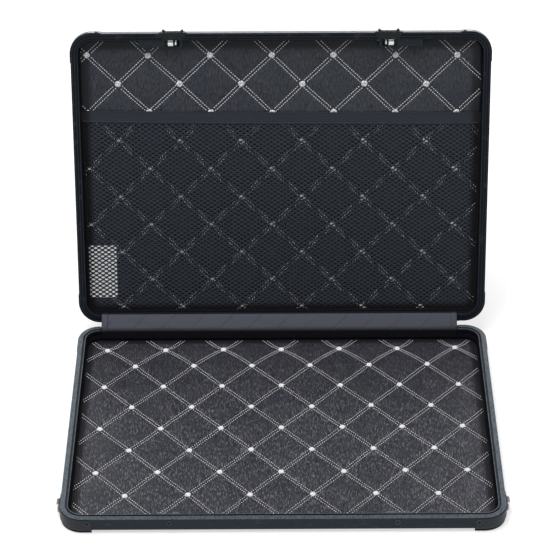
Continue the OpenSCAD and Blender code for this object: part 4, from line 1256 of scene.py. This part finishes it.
def make_cover():
    """Imitation leather from inside the base's back wall, over both rims and up inside the lid's."""
    glued_y = CASE_D / 2 - RIM_W - LINING_T - COVER_GAP
    low = (glued_y, BASE_QUILT_Z + CROWN_T + COVER_START)
    bend = (glued_y, BASE_RIM_Z + BEND_PAST)
    lid_bend = turned(glued_y, LID_RIM_Z - BEND_PAST, -LID_OPEN)
    lid_end = turned(glued_y, LID_QUILT_Z - COVER_END, -LID_OPEN)
    route = rounded_route([low, bend, lid_bend, lid_end], step=1.2, r=1.4)
    length = sum((b - a).length for a, b in zip(route, route[1:]))
    free_start = (Vector(bend) - Vector(low)).length
    free = (Vector(lid_bend) - Vector(bend)).length
    xs = []
    x, fine, coarse = -COVER_W / 2, 0.7, 2.4
    while x < COVER_W / 2 - 0.01:
        near_end = min(x + COVER_W / 2, COVER_W / 2 - x)
        xs.append(COVER_X + x)
        x += fine if near_end < HEM_W + 1.5 else coarse
    xs.append(COVER_X + COVER_W / 2)
    rows = []
    for x in xs:
        near_end = COVER_W / 2 - abs(x - COVER_X)
        hem = HEM_T if near_end < HEM_W else 0.0
        if near_end < EDGE_W:
            hem /= 2
        front, behind = [], []
        along = 0
        for k, p in enumerate(route):
            along += (p - route[k - 1]).length if k else 0
            step = (route[min(k + 1, len(route) - 1)] - route[max(k - 1, 0)]).normalized()
            out = Vector((-step.y, step.x))
            loose = max(0, math.sin(math.pi * min(1, max(0, (along - free_start) / free))))
            slant = x + RIPPLE_SLANT * along
            ripple = waves(slant, along, (21, 30), 0.32 * loose, 2.0)
            ripple += waves(slant, along, (6, 18), 0.10 * loose, 9.0)
            facing = p + out * (COVER_T / 2 + hem + ripple)
            hidden = p - out * (COVER_T / 2 - ripple)
            front.append((x, facing.x, facing.y))
            behind.append((x, hidden.x, hidden.y))
        rows.append(front + behind[::-1])
    sheaf = Sheaf()
    sheaf.grid(rows, closed_columns=True)
    count = len(rows[0])
    half = count // 2
    last = (len(rows) - 1) * count
    for k in range(half - 1):
        sheaf.faces.append((k, k + 1, count - 2 - k, count - 1 - k))
        sheaf.faces.append((last + k + 1, last + k, last + count - 1 - k, last + count - 2 - k))
    cover = sheaf.piece("leather_hinge_cover", BASE, None, COVER)
    # The parts that are glued down inside the two halves take the black felt finish, as painted shade on
    # the strip there
    cover.data.materials.append(FELT)
    for face in cover.data.polygons:
        middle = BASE.inverted() @ face.center
        _, shut_z = turned(middle.y, middle.z, LID_OPEN)
        if middle.z < BASE_RIM_Z - 0.2 or (middle.z > PIN_Z + 3 and shut_z > LID_RIM_Z + 0.4):
            face.material_index = 1
    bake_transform(cover)
    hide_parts("hinge_cover")


make_cover()

# ---------------------------------------------------------------- floor, light and camera

LENS_PX = 2397.0
PICTURE_PX = 560
SENSOR_MM = 36.0
CAMERA_AT = Vector((-2.76, -1694.1, 1326.4))
YAW, PITCH, ROLL = -0.032, 34.475, -0.255

# In metres
FLOOR_W = 12.0
FLOOR_GAP = 0.0002

# The world's light on things, as a share of how bright it looks
FILL_LIGHT = 0.26


def seen_ray(tree):
    """1 where the camera, a mirror or glass looks, and 0 for light that only falls on things."""
    camera, mirror, glass = (add_node(tree, "ShaderNodeLightPath", {}, {}, f"Is {kind} Ray")
                             for kind in ("Camera", "Glossy", "Transmission"))
    return camera.at_least(mirror).at_least(glass)


def make_floor():
    """A pale floor that a camera, a mirror or glass sees as white, and that keeps the shadow."""
    look = Look("pale_floor")
    speckle = look.cloud(3, 2)
    material = look.surface(
        Base_Color=look.mix(speckle, (0.54, 0.54, 0.54), (0.56, 0.56, 0.56)),
        Roughness=0.9,
        Emission_Color=look.mix(seen_ray(look.tree), (0, 0, 0), (1, 1, 1)),
        Emission_Strength=0.58,
    )
    sheaf = Sheaf()
    half = FLOOR_W / 2
    sheaf.add([(-half, -half, 0), (half, -half, 0), (half, half, 0), (-half, half, 0)], [(0, 1, 2, 3)])
    mesh = sheaf.loose_mesh("floor")
    mesh.materials.append(material)
    floor = bpy.data.objects.new("floor", mesh)
    floor.location.z = -FLOOR_GAP
    bpy.context.scene.collection.objects.link(floor)


def make_world():
    """Soft grey light all round, which shows as white."""
    world = bpy.data.worlds.new("studio")
    world.use_nodes = True
    tree = world.node_tree
    tree.nodes.clear()
    background = add_node(tree, "ShaderNodeBackground", {}, {
        "Color": (1, 1, 1), "Strength": FILL_LIGHT + seen_ray(tree) * (1 - FILL_LIGHT)})
    add_node(tree, "ShaderNodeOutputWorld", {}, {"Surface": background})
    bpy.context.scene.world = world


def add_softbox(name, at, aim, size, power):
    light = bpy.data.lights.new(name, "AREA")
    light.shape = "RECTANGLE"
    light.size, light.size_y = size
    light.energy = power
    lamp = bpy.data.objects.new(name, light)
    lamp.location = at
    lamp.rotation_mode = "QUATERNION"
    lamp.rotation_quaternion = (Vector(aim) - Vector(at)).to_track_quat("-Z", "Y")
    bpy.context.scene.collection.objects.link(lamp)


def make_camera():
    """The photograph's camera, found from the case's corners."""
    yaw, pitch, roll = math.radians(YAW), math.radians(PITCH), math.radians(ROLL)
    right = Vector((math.cos(yaw), math.sin(yaw), 0))
    ahead = Vector((-math.sin(yaw) * math.cos(pitch), math.cos(yaw) * math.cos(pitch), -math.sin(pitch)))
    up = right.cross(ahead)
    rolled_right = math.cos(roll) * right + math.sin(roll) * up
    rolled_up = -math.sin(roll) * right + math.cos(roll) * up
    data = bpy.data.cameras.new("camera")
    data.sensor_width = SENSOR_MM
    data.lens = LENS_PX / PICTURE_PX * SENSOR_MM
    data.clip_start, data.clip_end = 0.05, 50
    camera = bpy.data.objects.new("camera", data)
    axes = Matrix((rolled_right, rolled_up, -ahead)).transposed().to_4x4()
    camera.matrix_world = Matrix.Translation(BASE @ CAMERA_AT) @ axes
    bpy.context.scene.collection.objects.link(camera)
    bpy.context.scene.camera = camera


make_floor()
make_world()
add_softbox("overhead", at=(-0.35, -0.25, 2.2), aim=(0, 0, 0), size=(1.2, 1.2), power=37)
add_softbox("front", at=(0.9, -2.4, 1.5), aim=(0, 0.05, 0.12), size=(1.4, 1.4), power=8)
add_softbox("back", at=(0, 2.4, 0.75), aim=(0, 0.15, 0.28), size=(2.2, 0.9), power=32)
make_camera()
bpy.context.scene.view_settings.view_transform = "Standard"
